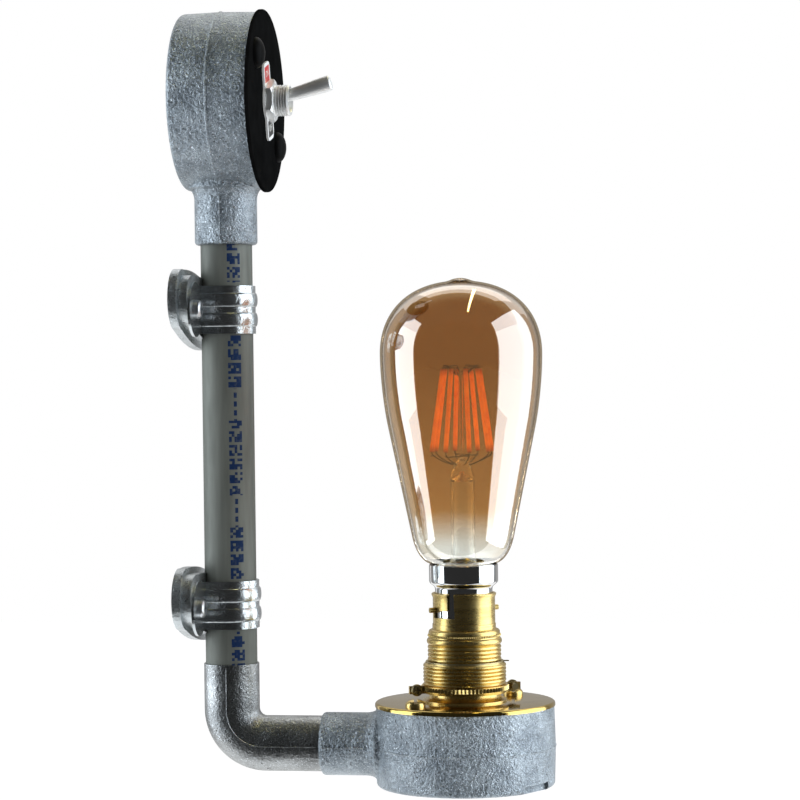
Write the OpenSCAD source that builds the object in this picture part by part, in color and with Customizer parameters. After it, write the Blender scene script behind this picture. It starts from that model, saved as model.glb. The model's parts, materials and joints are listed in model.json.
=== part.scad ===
// Pipe wall light: a round switch box on the wall, a straight conduit held by two saddles,
// an elbow, and a round lamp box with a bayonet lampholder and a clear filament lamp.
// Millimetres. +Z is up, +X leaves the wall, and the origin is the middle of the switch box's back.

/* [Round boxes] */
// Outside diameter of both boxes at the casting seam
box_d = 69; // [66:0.5:74]
// Depth of a box from its back to its rim
box_depth = 30.5; // [30.5:0.5:36]
// Side wall of a box at its rim
box_wall = 3.4; // [3:0.1:4]
// Base of a box
box_base = 3.5; // [3:0.1:4.2]
// How far the side draws in from the seam to the rim and to the back
box_draft = 0.4; // [0.2:0.1:1]
// Rounding of the back edge of a box
box_edge = 1.5; // [1:0.1:3]
// Height of the casting seam
seam_h = 0.3; // [0.1:0.05:0.5]
// Half width of the casting seam
seam_w = 0.45; // [0.3:0.05:0.7]
// Outside diameter of a spout
spout_d = 24.2; // [23.6:0.1:25.2]
// Length of a spout past the side of its box
spout_len = 20.8; // [20:0.1:24]
// Rounding of the end of a spout
spout_edge = 1.4; // [0.5:0.1:1.5]
// Height of the fillet where a spout meets its box
spout_flare = 2.9; // [1:0.1:2.9]
// Reach of that fillet along the spout
spout_flare_len = 4.6; // [2:0.1:6]
// Pitch of the two lid screws
lug_pitch = 50.8; // [48:0.1:52]
// Diameter of a lid screw lug
lug_d = 8.4; // [7:0.1:9]
// Direction of the lid screws, from the line of the spout
lug_angle = 50; // [44:1:56]
// How far a lug stops under the rim
lug_drop = 0.6; // [0:0.1:1.5]
// Depth of the tapped hole in a lug, from the rim
tap_depth = 16; // [14:0.5:18]
// Length of a lid screw under its lid
screw_grip = 11; // [9:0.5:13]
// Pitch of the two fixing holes in the base
fix_pitch = 44; // [40:1:46]
// Diameter of a fixing hole
fix_d = 5; // [4:0.1:6]
// Width of the drain notch in the bottom edge
notch_w = 15; // [8:0.5:18]
// Height of the drain notch
notch_h = 3.2; // [2:0.1:3.4]
// Depth of the drain notch into the wall
notch_in = 2.2; // [1:0.1:2.6]
// Direction of the drain notch
notch_angle = -30; // [-40:1:-20]

/* [Pipe run] */
// Outside diameter of the conduit
pipe_d = 20; // [19:0.1:20.4]
// Wall of the conduit
pipe_wall = 1.6; // [1.4:0.1:1.8]
// How far the thread's pitch line lies under the conduit's surface
thread_cut = 0.48; // [0.4:0.02:0.6]
// Engaged length of each screwed end
thread_len = 15; // [11:0.5:15]
// Drop from the middle of the switch box to the axis of the arm
drop = 248; // [220:1:400]
// Reach of the arm, from the axis of the conduit to the axis of the lamp box
arm_len = 91; // [86:0.5:130]
// How far the conduit's full diameter enters the spout
mouth_in = 1.5; // [0.5:0.1:2]

/* [Elbow] */
// Outside diameter of the elbow
elbow_d = 21.4; // [21.2:0.1:23]
// Bend radius of the elbow at its axis
elbow_bend = 13.5; // [12:0.1:14.5]
// Height of the elbow's upright leg above the axis of the arm
elbow_leg = 31; // [31:0.5:40]
// Bore of the elbow
elbow_bore = 15; // [13:0.1:16]

/* [Saddles] */
// Drop from the edge of the switch box to the upper saddle
saddle_gap = 45.9; // [42:0.1:60]
// Pitch of the two saddles
saddle_pitch = 113.6; // [60:0.2:115]
// Width of a strap along the conduit
strap_w = 18.4; // [15:0.2:19]
// Thickness of a strap
strap_t = 1; // [0.9:0.1:1.6]
// Pitch of the two pressed ribs
rib_pitch = 7.6; // [6.4:0.1:8.4]
// Height of a pressed rib
rib_h = 0.8; // [0.4:0.1:1.2]
// Half width of a pressed rib
rib_w = 2.7; // [1:0.1:2.9]
// Diameter of an ear's round end
ear_d = 21; // [19.4:0.2:22]
// Reach of an ear from the axis of the conduit
ear_reach = 31.5; // [30:0.5:33]
// Length of a saddle base
base_len = 70; // [67:0.5:76]
// Height of a saddle base behind the conduit
base_h = 28; // [26:0.5:32]
// Diameter of the round ends of a saddle base
base_end_d = 23.4; // [22.4:0.2:25]
// Thickness of a saddle base at its edge
base_flange = 3.2; // [2.6:0.1:4]
// Step in from that edge to the raised middle
base_step = 2.4; // [1:0.1:2.8]
// Turn of a saddle base on the wall, from level
base_turn = 9; // [0:1:10]
// How deep the conduit sits in its base
cradle = 1.6; // [1:0.1:2]
// Pitch of the two strap screws
strap_screw_pitch = 44; // [40:0.5:46]
// Diameter of the wall screw hole
wall_hole_d = 5.2; // [4:0.1:5.6]
// Diameter of the countersink under the conduit
wall_sink_d = 9.6; // [8:0.1:11]

/* [Switch] */
// Thickness of the black lid
lid_t = 1.5; // [1.2:0.1:2.5]
// How far the black lid reaches past the edge of its box
lid_over = 0.6; // [0:0.1:1]
// Diameter of a black screw cap
cap_dome_d = 12; // [11:0.1:14]
// Height of a black screw cap
cap_dome_h = 3.4; // [3.2:0.1:4.5]
// Diameter of the threaded bushing
bush_d = 12; // [11.6:0.1:12.6]
// Reach of the bushing in front of the lid
bush_front = 9.3; // [8.8:0.1:10]
// Reach of the bushing behind the lid
bush_back = 4.5; // [4.2:0.1:5]
// Thread pitch shown on the bushing
bush_pitch = 1; // [0.75:0.25:1.5]
// Nut size across its flats
nut_af = 14.5; // [14:0.5:17]
// Thickness of the front nut
nut_t = 2.6; // [2.4:0.1:3]
// Thickness of the back nut
back_nut_t = 2.3; // [2:0.1:2.6]
// Thickness of the lock washer
washer_t = 0.6; // [0.4:0.1:0.8]
// Height of the legend plate
legend_h = 30; // [26:0.5:34]
// Width of the legend plate's tabs
legend_w = 11.5; // [8:0.5:13]
// Diameter of the legend plate's middle
legend_mid_d = 16; // [15:0.5:18]
// Turn of the legend plate from upright
legend_turn = 16; // [0:1:20]
// Thickness of the legend plate
legend_t = 0.8; // [0.5:0.1:1.2]
// Length of the lever from its pivot to its tip
lever_len = 24; // [18:0.5:28]
// Diameter of the lever at its root
lever_root_d = 4.4; // [3.6:0.1:4.4]
// Diameter of the lever at its tip
lever_tip_d = 6; // [4.4:0.1:6.2]
// Whole angle that the lever tilts through
lever_throw = 31; // [24:1:33]
// Diameter of the lever's pivot ball
ball_d = 6; // [5.4:0.1:6.4]
// Diameter of the lever's pivot pin
pivot_d = 1.5; // [1.2:0.1:1.8]
// Length of the switch case
case_l = 29; // [26:0.5:31]
// Width of the switch case
case_w = 17; // [15:0.5:18]
// Room left behind the terminals of the switch
terminal_room = 2.5; // [2:0.1:4]
// Wall of the switch case
case_wall = 1.6; // [1.2:0.1:1.8]
// Length of the contact rocker
rocker_l = 13; // [11:0.5:15]
// Thickness of the contact rocker
rocker_t = 1.2; // [1:0.1:1.3]
// Diameter of the rear cable entry
entry_d = 12; // [10:0.5:13]
// Bore of the grommet in it
grommet_bore = 8; // [6:0.5:9]
// Distance of the rear cable entry from the edge of the box
entry_edge = 13; // [11.5:0.5:13]

/* [Lamp plate] */
// Thickness of the brass plate
brass_t = 1.7; // [1.2:0.1:2.5]
// How far the brass plate stops inside the edge of its box
brass_inset = 0; // [0:0.1:1.5]
// Diameter of a brass screw head
brass_head_d = 7.7; // [7:0.1:8.4]
// Height of a brass screw head
brass_head_h = 2.9; // [2:0.1:3.5]
// Width of the slot in a brass screw head
brass_slot = 1.3; // [0.8:0.1:1.8]
// Diameter of the plate's wire hole
wire_hole_d = 17; // [15:0.5:19]

/* [Lampholder] */
// Height of the neck on the plate
neck_h = 3.4; // [3.4:0.1:6]
// Diameter of the neck
neck_d = 27; // [26.8:0.1:28]
// Diameter of the neck's foot
foot_d = 32; // [30:0.5:36]
// Height of the knurled ring
ring_h = 3; // [2.6:0.1:4]
// Diameter of the knurled ring over its teeth
ring_d = 33.6; // [31.5:0.1:35]
// Count of teeth on the knurled ring
ring_teeth = 72; // [48:1:90]
// Height of the lower ribbed shell
low_shell_h = 8.6; // [6:0.1:10]
// Diameter of the lower ribbed shell
low_shell_d = 31.8; // [31:0.1:34]
// Height of the upper ribbed shell
top_shell_h = 11; // [9:0.1:13]
// Diameter of the upper ribbed shell
top_shell_d = 28.2; // [27.6:0.1:29]
// Count of ribs on the lower shell
low_ribs = 5; // [3:1:7]
// Count of ribs on the upper shell
top_ribs = 4; // [3:1:8]
// Depth of the ribs of both shells
shell_rib = 0.55; // [0.3:0.05:0.6]
// Height of the shoulder over the upper shell
shoulder_h = 3.6; // [2.5:0.1:5]
// Diameter of the bayonet sleeve
sleeve_d = 23.8; // [23.7:0.1:24.4]
// Height of the sleeve above the shoulder
sleeve_h = 11.8; // [10.4:0.1:13]
// Diameter of the sleeve's flared lip
lip_d = 24.8; // [24.2:0.1:25.4]
// Drop from the lip to the bayonet pins
pin_drop = 6.2; // [5.5:0.1:6.6]
// Direction of the bayonet pins
pin_angle = 212; // [200:1:240]
// Turn from the upright slot to the seat of a pin
slot_turn = 40; // [27:1:42]
// Width of a bayonet slot
slot_w = 2.8; // [2.5:0.1:3.2]
// How far the lamp can be pushed in
push = 1.8; // [1.5:0.1:2]
// How far a pin sits behind its tongue
hook = 1.5; // [1:0.1:1.6]
// Top of the insulating core above the plate
core_h = 22; // [20:0.2:22.4]
// Distance of a contact plunger from the axis
plunger_r = 4.6; // [4.2:0.1:5]
// Length of a contact plunger above its collar
plunger_len = 12; // [11:0.1:12.4]
// Diameter of a contact plunger
plunger_d = 3.8; // [3.2:0.1:4]
// Direction of the two clamp ears on the knurled ring
ear_angle = 203; // [190:1:215]
// Gap between a clamp screw's head and the knurled ring
clamp_gap = 0.2; // [0.2:0.1:1]
// Thickness of a clamp ear
clamp_t = 1.6; // [1.2:0.1:2]

/* [Lamp] */
// Diameter of the lamp's cap
cap_d = 22; // [21.8:0.1:22.3]
// Height of the cap's bottom edge under its pins
cap_under = 7.6; // [7:0.1:7.8]
// Height of the straight cap above its pins
cap_over = 8; // [8:0.1:10]
// Height of the cap's cone
cap_cone = 2.6; // [2:0.1:4]
// Height of the cap's upper tier
cap_tier = 6.6; // [6:0.1:10]
// Diameter of the cap's upper tier
tier_d = 26.4; // [25.6:0.1:27.4]
// Thickness of the cap
cap_wall = 0.5; // [0.4:0.05:0.7]
// Diameter of a bayonet pin
pin_d = 2; // [1.8:0.1:2.2]
// Span over the two bayonet pins
pin_span = 28.6; // [27:0.1:29]
// Greatest diameter of the glass
glass_d = 62; // [58:0.5:66]
// Height of the glass above the cap
glass_h = 108.2; // [98:0.1:116]
// Thickness of the glass
glass_t = 0.8; // [0.6:0.05:1.2]
// Place of the first filament, in parts of the step between two
filament_start = 0.46; // [0:0.01:1]
// Count of filament sticks
filaments = 8; // [4:1:10]
// Diameter of a filament stick
filament_d = 1.8; // [1.4:0.1:2.4]
// Distance of a filament's upper end from the axis
filament_top_r = 7.2; // [5:0.1:9]
// Distance of a filament's lower end from the axis
filament_low_r = 11.8; // [9:0.1:14]
// Height of the filaments' upper ends above the cap
filament_top = 74.5; // [68:0.5:80]
// Height of the filaments' lower ends above the cap
filament_low = 43; // [42:0.1:47]
// Diameter of the support wires
support_d = 0.6; // [0.4:0.1:0.8]
// Height of the stem's pinch above the cap
stem_pinch = 33.5; // [31:0.5:35]
// Length of the stem's taper above its pinch
stem_taper = 5; // [4:0.1:6]
// Outside diameter of the glass stem
stem_d = 9.2; // [7:0.1:10]

/* [Wiring] */
// Outside diameter of an insulated wire
wire_d = 2.4; // [1.8:0.1:2.6]
// Distance of each wire from the axis of the conduit
wire_off = 2.2; // [1.9:0.1:3]

/* [Fits] */
// Clearance of every turning or sliding fit
fit = 0.04; // [0.02:0.01:0.08]
// Clearance of pieces that are only slipped together
slip = 0.05; // [0.03:0.01:0.1]
// Radius of an M4 screw
m4_r = 1.98; // [1.9:0.01:2]
// Clearance of a screw in the hole that it passes through
screw_gap = 0.22; // [0.1:0.02:0.4]

/* [Hidden] */
$fn = 96;
box_r = box_d / 2;
lid_r = box_r + lid_over;
plate_r = box_r - brass_inset;
entry_up = box_r - entry_edge;
saddle_top = box_r + saddle_gap;
rim_r = box_r - box_draft;
hollow_r = rim_r - box_wall;
box_mid = box_depth / 2;
spout_r = spout_d / 2;
spout_end = box_r + spout_len;
pipe_r = pipe_d / 2;
pipe_in = pipe_r - pipe_wall;
thread_r = pipe_r - thread_cut;
socket_r = thread_r + fit;
socket_len = thread_len + 0.4;
mouth_r = pipe_r + 0.25;
mouth_len = mouth_in + 0.3;
throat_r = pipe_in;
pipe_x = box_mid;
arm_z = -drop;
lamp_x = pipe_x + arm_len;
lamp_z = arm_z + box_mid + brass_t;
elbow_r = elbow_d / 2;
elbow_top = arm_z + elbow_leg;
elbow_end = lamp_x - spout_end - slip;
pipe_top = -(spout_end - thread_len);
pipe_low = elbow_top - thread_len;
spigot_end = elbow_end + thread_len;
base_front = pipe_x - pipe_r + cradle;
ear_front = base_front + strap_t;
strap_in = pipe_r + slip;
strap_out = strap_in + strap_t;
lug_r = lug_pitch / 2;
lid_front = box_depth + lid_t;
bush_r = bush_d / 2;
bush_end = lid_front + bush_front;
frame_front = box_depth - bush_back;
frame_t = 1;
frame_back = frame_front - frame_t;
tab_len = 5;
tab_t = 0.8;
case_back = box_base + terminal_room + tab_len;
case_d = frame_back - case_back;
case_floor = case_back + case_wall;
pivot_z = lid_front + legend_t + nut_t / 2;
half_throw = lever_throw / 2;
ball_r = ball_d / 2;
tail_r = 1.5;
tail_end = 12;
tip_r = 1.3;
tip_mid = tail_end + 2;
rocker_z = pivot_z - tip_mid - tip_r - 0.35 - rocker_t;
rocker_tilt = half_throw / 2;
fulcrum_r = 0.6;
rocker_w = 4.5;
pad_x = -(rocker_l / 2 - 1);
pad_top = rocker_z - (rocker_l / 2) * sin(rocker_tilt) - slip;
ring_z = neck_h;
low_z = ring_z + ring_h;
clip_t = 0.4;
top_z = low_z + low_shell_h + clip_t + 2 * slip;
shoulder_z = low_z + low_shell_h + top_shell_h;
sleeve_z = shoulder_z + shoulder_h;
sleeve_top = sleeve_z + sleeve_h;
pin_z = sleeve_top - pin_drop;
sleeve_r = sleeve_d / 2;
sleeve_in = cap_d / 2 + 0.2;
neck_r = neck_d / 2;
core_r = sleeve_in - slip;
screwed_r = neck_r + slip;
pin_r = pin_d / 2;
cap_low = pin_z - cap_under;
cap_top = pin_z + cap_over + cap_cone + cap_tier;
contact_t = 0.6;
contact_z = cap_low - contact_t;
contact_r = 2.4;
contact_stem_r = 0.8;
pad_t = 3.4;
plunger_top = contact_z - slip;
collar_z = plunger_top - plunger_len;
barrel_top = 3.9;
tier_r = tier_d / 2;
glass_neck_r = tier_r - cap_wall - slip;
glass_r = glass_d / 2;
stem_r = stem_d / 2;
wire_r = wire_d / 2;

// Points of an arc about a middle, from one angle to another
function arc(mid, r, from, to, n = 8) =
    [for (i = [0 : n]) let (a = from + (to - from) * i / n) mid + r * [cos(a), sin(a)]];

// Points of a cubic curve between two ends with two handles
function curve(a, b, c, d, n = 10) =
    [for (i = [0 : n]) let (t = i / n, u = 1 - t)
        u * u * u * a + 3 * u * u * t * b + 3 * u * t * t * c + t * t * t * d];

function unit(v) = v / norm(v);

// The points of an outline moved inwards by a wall, towards the axis side of their path
function inset(p, t) = [for (i = [0 : len(p) - 1])
    let (d = unit(p[min(i + 1, len(p) - 1)] - p[max(i - 1, 0)])) [max(p[i].x - t * d.y, 0), p[i].y + t * d.x]];

function reversed(p) = [for (i = [len(p) - 1 : -1 : 0]) p[i]];

// Points of a smooth route through chosen points
function pick(p, i) = p[min(max(i, 0), len(p) - 1)];
function route(p, n = 6) = concat([for (i = [0 : len(p) - 2], k = [0 : n - 1])
    let (t = k / n, a = pick(p, i - 1), b = p[i], c = p[i + 1], d = pick(p, i + 2))
    0.5 * (2 * b + (c - a) * t + (2 * a - 5 * b + 4 * c - d) * t * t + (3 * b - a - 3 * c + d) * t * t * t)],
    [p[len(p) - 1]]);

function headings(p) = [for (i = [0 : len(p) - 1]) unit(pick(p, i + 1) - pick(p, i - 1))];
function square_to(v, d) = unit(v - (v * d) * d);
function sides(d, i = 0, last = [0.31, 0.87, 0.39], out = []) = i == len(d) ? out :
    let (s = square_to(last, d[i])) sides(d, i + 1, s, concat(out, [s]));

// An unbroken tube along a route
module tube(p, r, n = 10) {
    d = headings(p);
    s = sides(d);
    m = len(p);
    ringed = [for (i = [0 : m - 1], k = [0 : n - 1])
        p[i] + r * (cos(360 * k / n) * s[i] + sin(360 * k / n) * cross(d[i], s[i]))];
    walls = [for (i = [0 : m - 2], k = [0 : n - 1])
        [i * n + k, (i + 1) * n + k, (i + 1) * n + (k + 1) % n, i * n + (k + 1) % n]];
    ends = [[for (k = [0 : n - 1]) k], [for (k = [n - 1 : -1 : 0]) (m - 1) * n + k]];
    polyhedron(ringed, concat(ends, walls), convexity = 6);
}

// Points of a coil spring that stands on z
function coil(r, pitch, turns, z, n = 14) = [for (i = [0 : turns * n])
    [r * cos(360 * i / n), r * sin(360 * i / n), z + pitch * i / n]];

// The local frame of a box or of the switch, turned so that local z leaves the wall and local x points up
module on_wall() {
    rotate(a = 180, v = [1, 0, 1]) children();
}

module at_lamp_box() {
    translate([lamp_x, 0, arm_z - box_mid]) children();
}

module at_holder() {
    translate([lamp_x, 0, lamp_z]) children();
}

module at_both(angle, r) {
    for (turn = [0, 180]) {
        rotate([0, 0, angle + turn]) translate([r, 0, 0]) children();
    }
}

// A spout's axis runs along local -x at half the depth of the box
module along_spout() {
    translate([0, 0, box_mid]) rotate([0, -90, 0]) children();
}

module spout_outside() {
    flare_r = min(spout_r + spout_flare, box_mid - 0.1);
    flare_end = hollow_r + box_wall - 0.8;
    fillet = [for (a = [0 : 15 : 90])
        [spout_r + (flare_r - spout_r) * (1 - cos(a)), flare_end + spout_flare_len * (1 - sin(a))]];
    end_round = arc([spout_r - spout_edge, spout_end - spout_edge], spout_edge, 90, 0, 6);
    along_spout() rotate_extrude() polygon(concat([[0, 18], [flare_r, 18]], reversed(fillet),
        reversed(end_round), [[0, spout_end]]));
    for (turn = [0, 180]) {
        along_spout() rotate([0, 0, turn]) translate([0, spout_r, rim_r]) linear_extrude(spout_len - spout_edge)
            polygon([[-seam_w, -0.5], [0, seam_h], [seam_w, -0.5]]);
    }
}

module box_outside() {
    back_round = arc([rim_r - box_edge, box_edge], box_edge, -90, 0, 8);
    rotate_extrude() polygon(concat([[0, 0]], back_round, [[box_r, box_mid - seam_w], [box_r + seam_h, box_mid],
        [box_r, box_mid + seam_w], [rim_r, box_depth], [0, box_depth]]));
    spout_outside();
}

module box_lugs() {
    at_both(lug_angle, lug_r) {
        translate([0, 0, box_base - 1]) cylinder(d = lug_d, h = box_depth - lug_drop - box_base + 1);
        translate([0, -lug_d * 0.36, box_base - 1])
            cube([rim_r - box_wall / 2 - lug_r, lug_d * 0.72, box_depth - lug_drop - box_base + 1]);
    }
}

// The casting that both boxes share, mouth up and spout to -x
module round_box() {
    difference() {
        union() {
            difference() {
                box_outside();
                translate([0, 0, box_base]) cylinder(r = hollow_r, h = box_depth);
            }
            box_lugs();
        }
        along_spout() {
            translate([0, 0, spout_end - socket_len]) cylinder(r = socket_r, h = socket_len + 1);
            translate([0, 0, spout_end - mouth_len]) cylinder(r = mouth_r, h = mouth_len + 1);
            translate([0, 0, hollow_r - 3]) cylinder(r = throat_r, h = spout_end - hollow_r);
        }
        at_both(lug_angle, lug_r) translate([0, 0, box_depth - tap_depth])
            cylinder(r = m4_r + fit, h = tap_depth + 1);
        at_both(90, fix_pitch / 2) translate([0, 0, -1]) cylinder(d = fix_d, h = box_base + 2);
        rotate([0, 0, notch_angle]) translate([rim_r - notch_in, -notch_w / 2, -1])
            cube([notch_in + 3, notch_w, notch_h + 1]);
    }
}

earth_at = [-12, 18, box_base];
neutral_at = [11, -18, box_base];
neutral_size = [12, 7, 10];

module switch_box() {
    color([0.62, 0.64, 0.66]) on_wall() difference() {
        union() {
            round_box();
            translate(earth_at - [0, 0, 1]) cylinder(r = 4.2, h = 4);
        }
        translate([entry_up, 0, -1]) cylinder(d = entry_d, h = box_base + 2);
        translate(earth_at - [0, 0, 2]) cylinder(r = m4_r + fit, h = 8);
    }
}

module entry_grommet() {
    color([0.1, 0.1, 0.1]) on_wall() translate([entry_up, 0, 0]) difference() {
        union() {
            translate([0, 0, 0.3]) cylinder(r = entry_d / 2 - slip, h = box_base - 0.3);
            translate([0, 0, box_base]) cylinder(r = entry_d / 2 + 1.4, h = 1.4);
        }
        translate([0, 0, -1]) cylinder(d = grommet_bore, h = box_base + 4);
    }
}

// A round-headed screw whose head stands on z = 0 with its shank below
module round_screw(head_r, head_h, shank_r, shank_len, slot) {
    difference() {
        union() {
            rotate_extrude() polygon(concat([[0, 0], [head_r, 0], [head_r, head_h * 0.3]],
                [for (a = [15 : 15 : 90]) [head_r * cos(a), head_h * (0.3 + 0.7 * sin(a))]]));
            translate([0, 0, -shank_len]) cylinder(r = shank_r, h = shank_len + head_h * 0.2);
        }
        translate([-head_r - 1, -slot / 2, head_h * 0.5]) cube([2 * head_r + 2, slot, head_h]);
    }
}

// A pan-headed screw with a cross recess
module cross_screw(head_r, head_h, shank_r, shank_len) {
    difference() {
        union() {
            rotate_extrude() polygon(concat([[0, 0], [head_r, 0]],
                arc([head_r - head_h * 0.6, head_h * 0.4], head_h * 0.6, 0, 90, 5), [[0, head_h]]));
            translate([0, 0, -shank_len]) cylinder(r = shank_r, h = shank_len + head_h * 0.2);
        }
        for (turn = [0, 90]) {
            rotate([0, 0, turn]) translate([-head_r * 0.55, -head_r * 0.13, head_h * 0.35])
                cube([head_r * 1.1, head_r * 0.26, head_h]);
        }
    }
}

module earth_screw() {
    color([0.8, 0.66, 0.3]) on_wall() translate(earth_at + [0, 0, 3]) round_screw(3.4, 2.2, m4_r, 4.5, 1);
}

module neutral_body() {
    color([0.9, 0.9, 0.87]) on_wall() translate(neutral_at) difference() {
        translate([-neutral_size.x / 2, -neutral_size.y / 2, 0]) cube(neutral_size);
        translate([-neutral_size.x, 0, 5]) rotate([0, 90, 0]) cylinder(r = 2 + slip, h = 2 * neutral_size.x);
        for (side = [-1, 1]) {
            translate([side * 3, 0, 5]) cylinder(r = 1.6, h = 8);
        }
    }
}

module neutral_barrel() {
    color([0.8, 0.66, 0.3]) on_wall() translate(neutral_at + [0, 0, 5]) difference() {
        translate([-neutral_size.x / 2 + 0.6, 0, 0]) rotate([0, 90, 0])
            cylinder(r = 2, h = neutral_size.x - 1.2);
        for (side = [-1, 1]) {
            translate([side * 3, 0, 0.4]) cylinder(r = 1.2 + fit, h = 3);
        }
    }
}

module neutral_screws() {
    color([0.8, 0.66, 0.3]) on_wall() for (side = [-1, 1]) {
        translate(neutral_at + [side * 3, 0, 5.5]) difference() {
            cylinder(r = 1.2, h = 3.6);
            translate([-2, -0.25, 2.8]) cube([4, 0.5, 2]);
        }
    }
}

module switch_lid() {
    color([0.03, 0.03, 0.03]) on_wall() difference() {
        rotate_extrude() polygon(concat([[0, box_depth], [lid_r, box_depth]],
            arc([lid_r - 0.5, lid_front - 0.5], 0.5, 0, 90, 4), [[0, lid_front]]));
        translate([0, 0, box_depth - 1]) cylinder(r = bush_r + slip, h = lid_t + 2);
        at_both(lug_angle, lug_r) translate([0, 0, box_depth - 1])
            cylinder(r = m4_r + screw_gap, h = lid_t + 2);
    }
}

lid_head_r = 3.7;
lid_head_h = 2.2;

module lid_screws() {
    color([0.75, 0.76, 0.78]) on_wall() at_both(lug_angle, lug_r) translate([0, 0, lid_front])
        round_screw(lid_head_r, lid_head_h, m4_r, lid_t + screw_grip, 1);
}

module screw_caps() {
    cap_r = cap_dome_d / 2;
    color([0.04, 0.04, 0.04]) on_wall() at_both(lug_angle, lug_r) translate([0, 0, lid_front]) difference() {
        rotate_extrude() polygon(concat([[0, 0], [cap_r, 0]],
            [for (a = [10 : 10 : 90]) [cap_r * cos(a), cap_dome_h * sin(a)]]));
        translate([0, 0, -1]) cylinder(r = lid_head_r + slip, h = lid_head_h + 1 + slip);
    }
}

module legend_plate() {
    corner = 3;
    color([0.86, 0.86, 0.84]) on_wall() translate([0, 0, lid_front]) rotate([0, 0, legend_turn])
            linear_extrude(legend_t) difference() {
        union() {
            circle(d = legend_mid_d);
            square([legend_h, legend_w - 2 * corner], center = true);
            square([legend_h - 2 * corner, legend_w], center = true);
            for (end = [-1, 1], side = [-1, 1]) {
                translate([end * (legend_h / 2 - corner), side * (legend_w / 2 - corner)]) circle(r = corner);
            }
        }
        circle(r = bush_r + slip);
    }
}

module hex_nut(h) {
    difference() {
        intersection() {
            cylinder(d = nut_af / cos(30), h = h, $fn = 6);
            rotate_extrude() polygon([[0, 0], [nut_af / 2 + 0.3, 0], [nut_af / 2 + 1.4, h * 0.3],
                [nut_af / 2 + 1.4, h * 0.7], [nut_af / 2 + 0.3, h], [0, h]]);
        }
        translate([0, 0, -1]) cylinder(r = bush_r + slip, h = h + 2);
    }
}

module front_nut() {
    color([0.75, 0.75, 0.74]) on_wall() translate([0, 0, lid_front + legend_t]) hex_nut(nut_t);
}

module lock_washer() {
    color([0.75, 0.75, 0.74]) on_wall() translate([0, 0, box_depth - washer_t]) difference() {
        cylinder(r = bush_r + 3.2, h = washer_t);
        translate([0, 0, -1]) cylinder(r = bush_r + slip, h = washer_t + 2);
        for (i = [0 : 11]) {
            rotate([0, 0, i * 30]) translate([bush_r - 0.5, -0.5, -1]) cube([2, 1, washer_t + 2]);
        }
    }
}

module back_nut() {
    color([0.75, 0.75, 0.74]) on_wall() translate([0, 0, box_depth - washer_t - back_nut_t])
        hex_nut(back_nut_t);
}

// The bushing's thread shows as a row of rings in front of the nut, and its bore opens both ways for the lever
module switch_bushing() {
    mouth_front = (bush_end - pivot_z) * tan(half_throw) + lever_root_d * 0.58 + 0.25;
    mouth_back = (pivot_z - frame_back) * tan(half_throw) + tail_r / cos(half_throw) + 0.3;
    bore_r = ball_r + slip;
    root_r = bush_r - 0.45;
    nut_front = lid_front + legend_t + nut_t;
    rings = floor((bush_end - nut_front - 0.8) / bush_pitch);
    crest = [[bush_r, 0], [bush_r, 0.25], [root_r, 0.5], [root_r, 0.75]];
    threads = [for (i = [0 : rings - 1], p = crest) [p[0], bush_end - 0.7 - bush_pitch * (i + p[1])]];
    color([0.76, 0.76, 0.75]) on_wall() difference() {
        union() {
            rotate_extrude() polygon(concat([[0, bush_end], [bush_r - 0.4, bush_end]], threads,
                [[bush_r, nut_front], [bush_r, frame_back + 0.2], [0, frame_back + 0.2]]));
            translate([-case_l / 2, -case_w / 2, frame_back]) cube([case_l, case_w, frame_t]);
            for (end = [0, 1]) {
                mirror([end, 0, 0]) translate([case_l / 2, -case_w / 4, frame_back - 5])
                    cube([0.8, case_w / 2, 5 + frame_t]);
            }
        }
        rotate_extrude() polygon([[0, frame_back - 1], [mouth_back + 0.2, frame_back - 1],
            [mouth_back, frame_back], [bore_r, pivot_z - 2], [bore_r, pivot_z + 2],
            [mouth_front, bush_end], [mouth_front + 0.2, bush_end + 1], [0, bush_end + 1]]);
        translate([0, 0, pivot_z]) rotate([90, 0, 0])
            cylinder(r = pivot_d / 2 + fit, h = bush_d + 2, center = true);
    }
}

module switch_case() {
    color([0.13, 0.1, 0.08]) on_wall() difference() {
        translate([-case_l / 2 + slip, -case_w / 2, case_back])
            cube([case_l - 2 * slip, case_w, case_d - slip]);
        translate([-case_l / 2 + case_wall, -case_w / 2 + case_wall, case_floor])
            cube([case_l - 2 * case_wall, case_w - 2 * case_wall, case_d]);
        for (at = [0, pad_x]) {
            translate([at - tab_t / 2 - slip, -1.5 - slip, case_back - 1])
                cube([tab_t + 2 * slip, 3 + 2 * slip, case_wall + 2]);
        }
    }
}

module centre_terminal() {
    color([0.8, 0.66, 0.3]) on_wall() {
        translate([-tab_t / 2, -1.5, case_back - tab_len]) cube([tab_t, 3, rocker_z - case_back + tab_len]);
        translate([0, 0, rocker_z]) rotate([90, 0, 0]) cylinder(r = fulcrum_r, h = 3.6, center = true);
    }
}

module end_terminal() {
    color([0.8, 0.66, 0.3]) on_wall() {
        translate([pad_x - tab_t / 2, -1.5, case_back - tab_len])
            cube([tab_t, 3, pad_top - case_back + tab_len - 0.5]);
        translate([pad_x - 0.9, -1.5, pad_top - 0.6]) cube([1.8, 3, 0.6]);
    }
}

// The lever's own frame has its pivot at the origin and its tip along +z
module on_lever() {
    on_wall() translate([0, 0, pivot_z]) rotate([0, half_throw, 0]) children();
}

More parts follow.
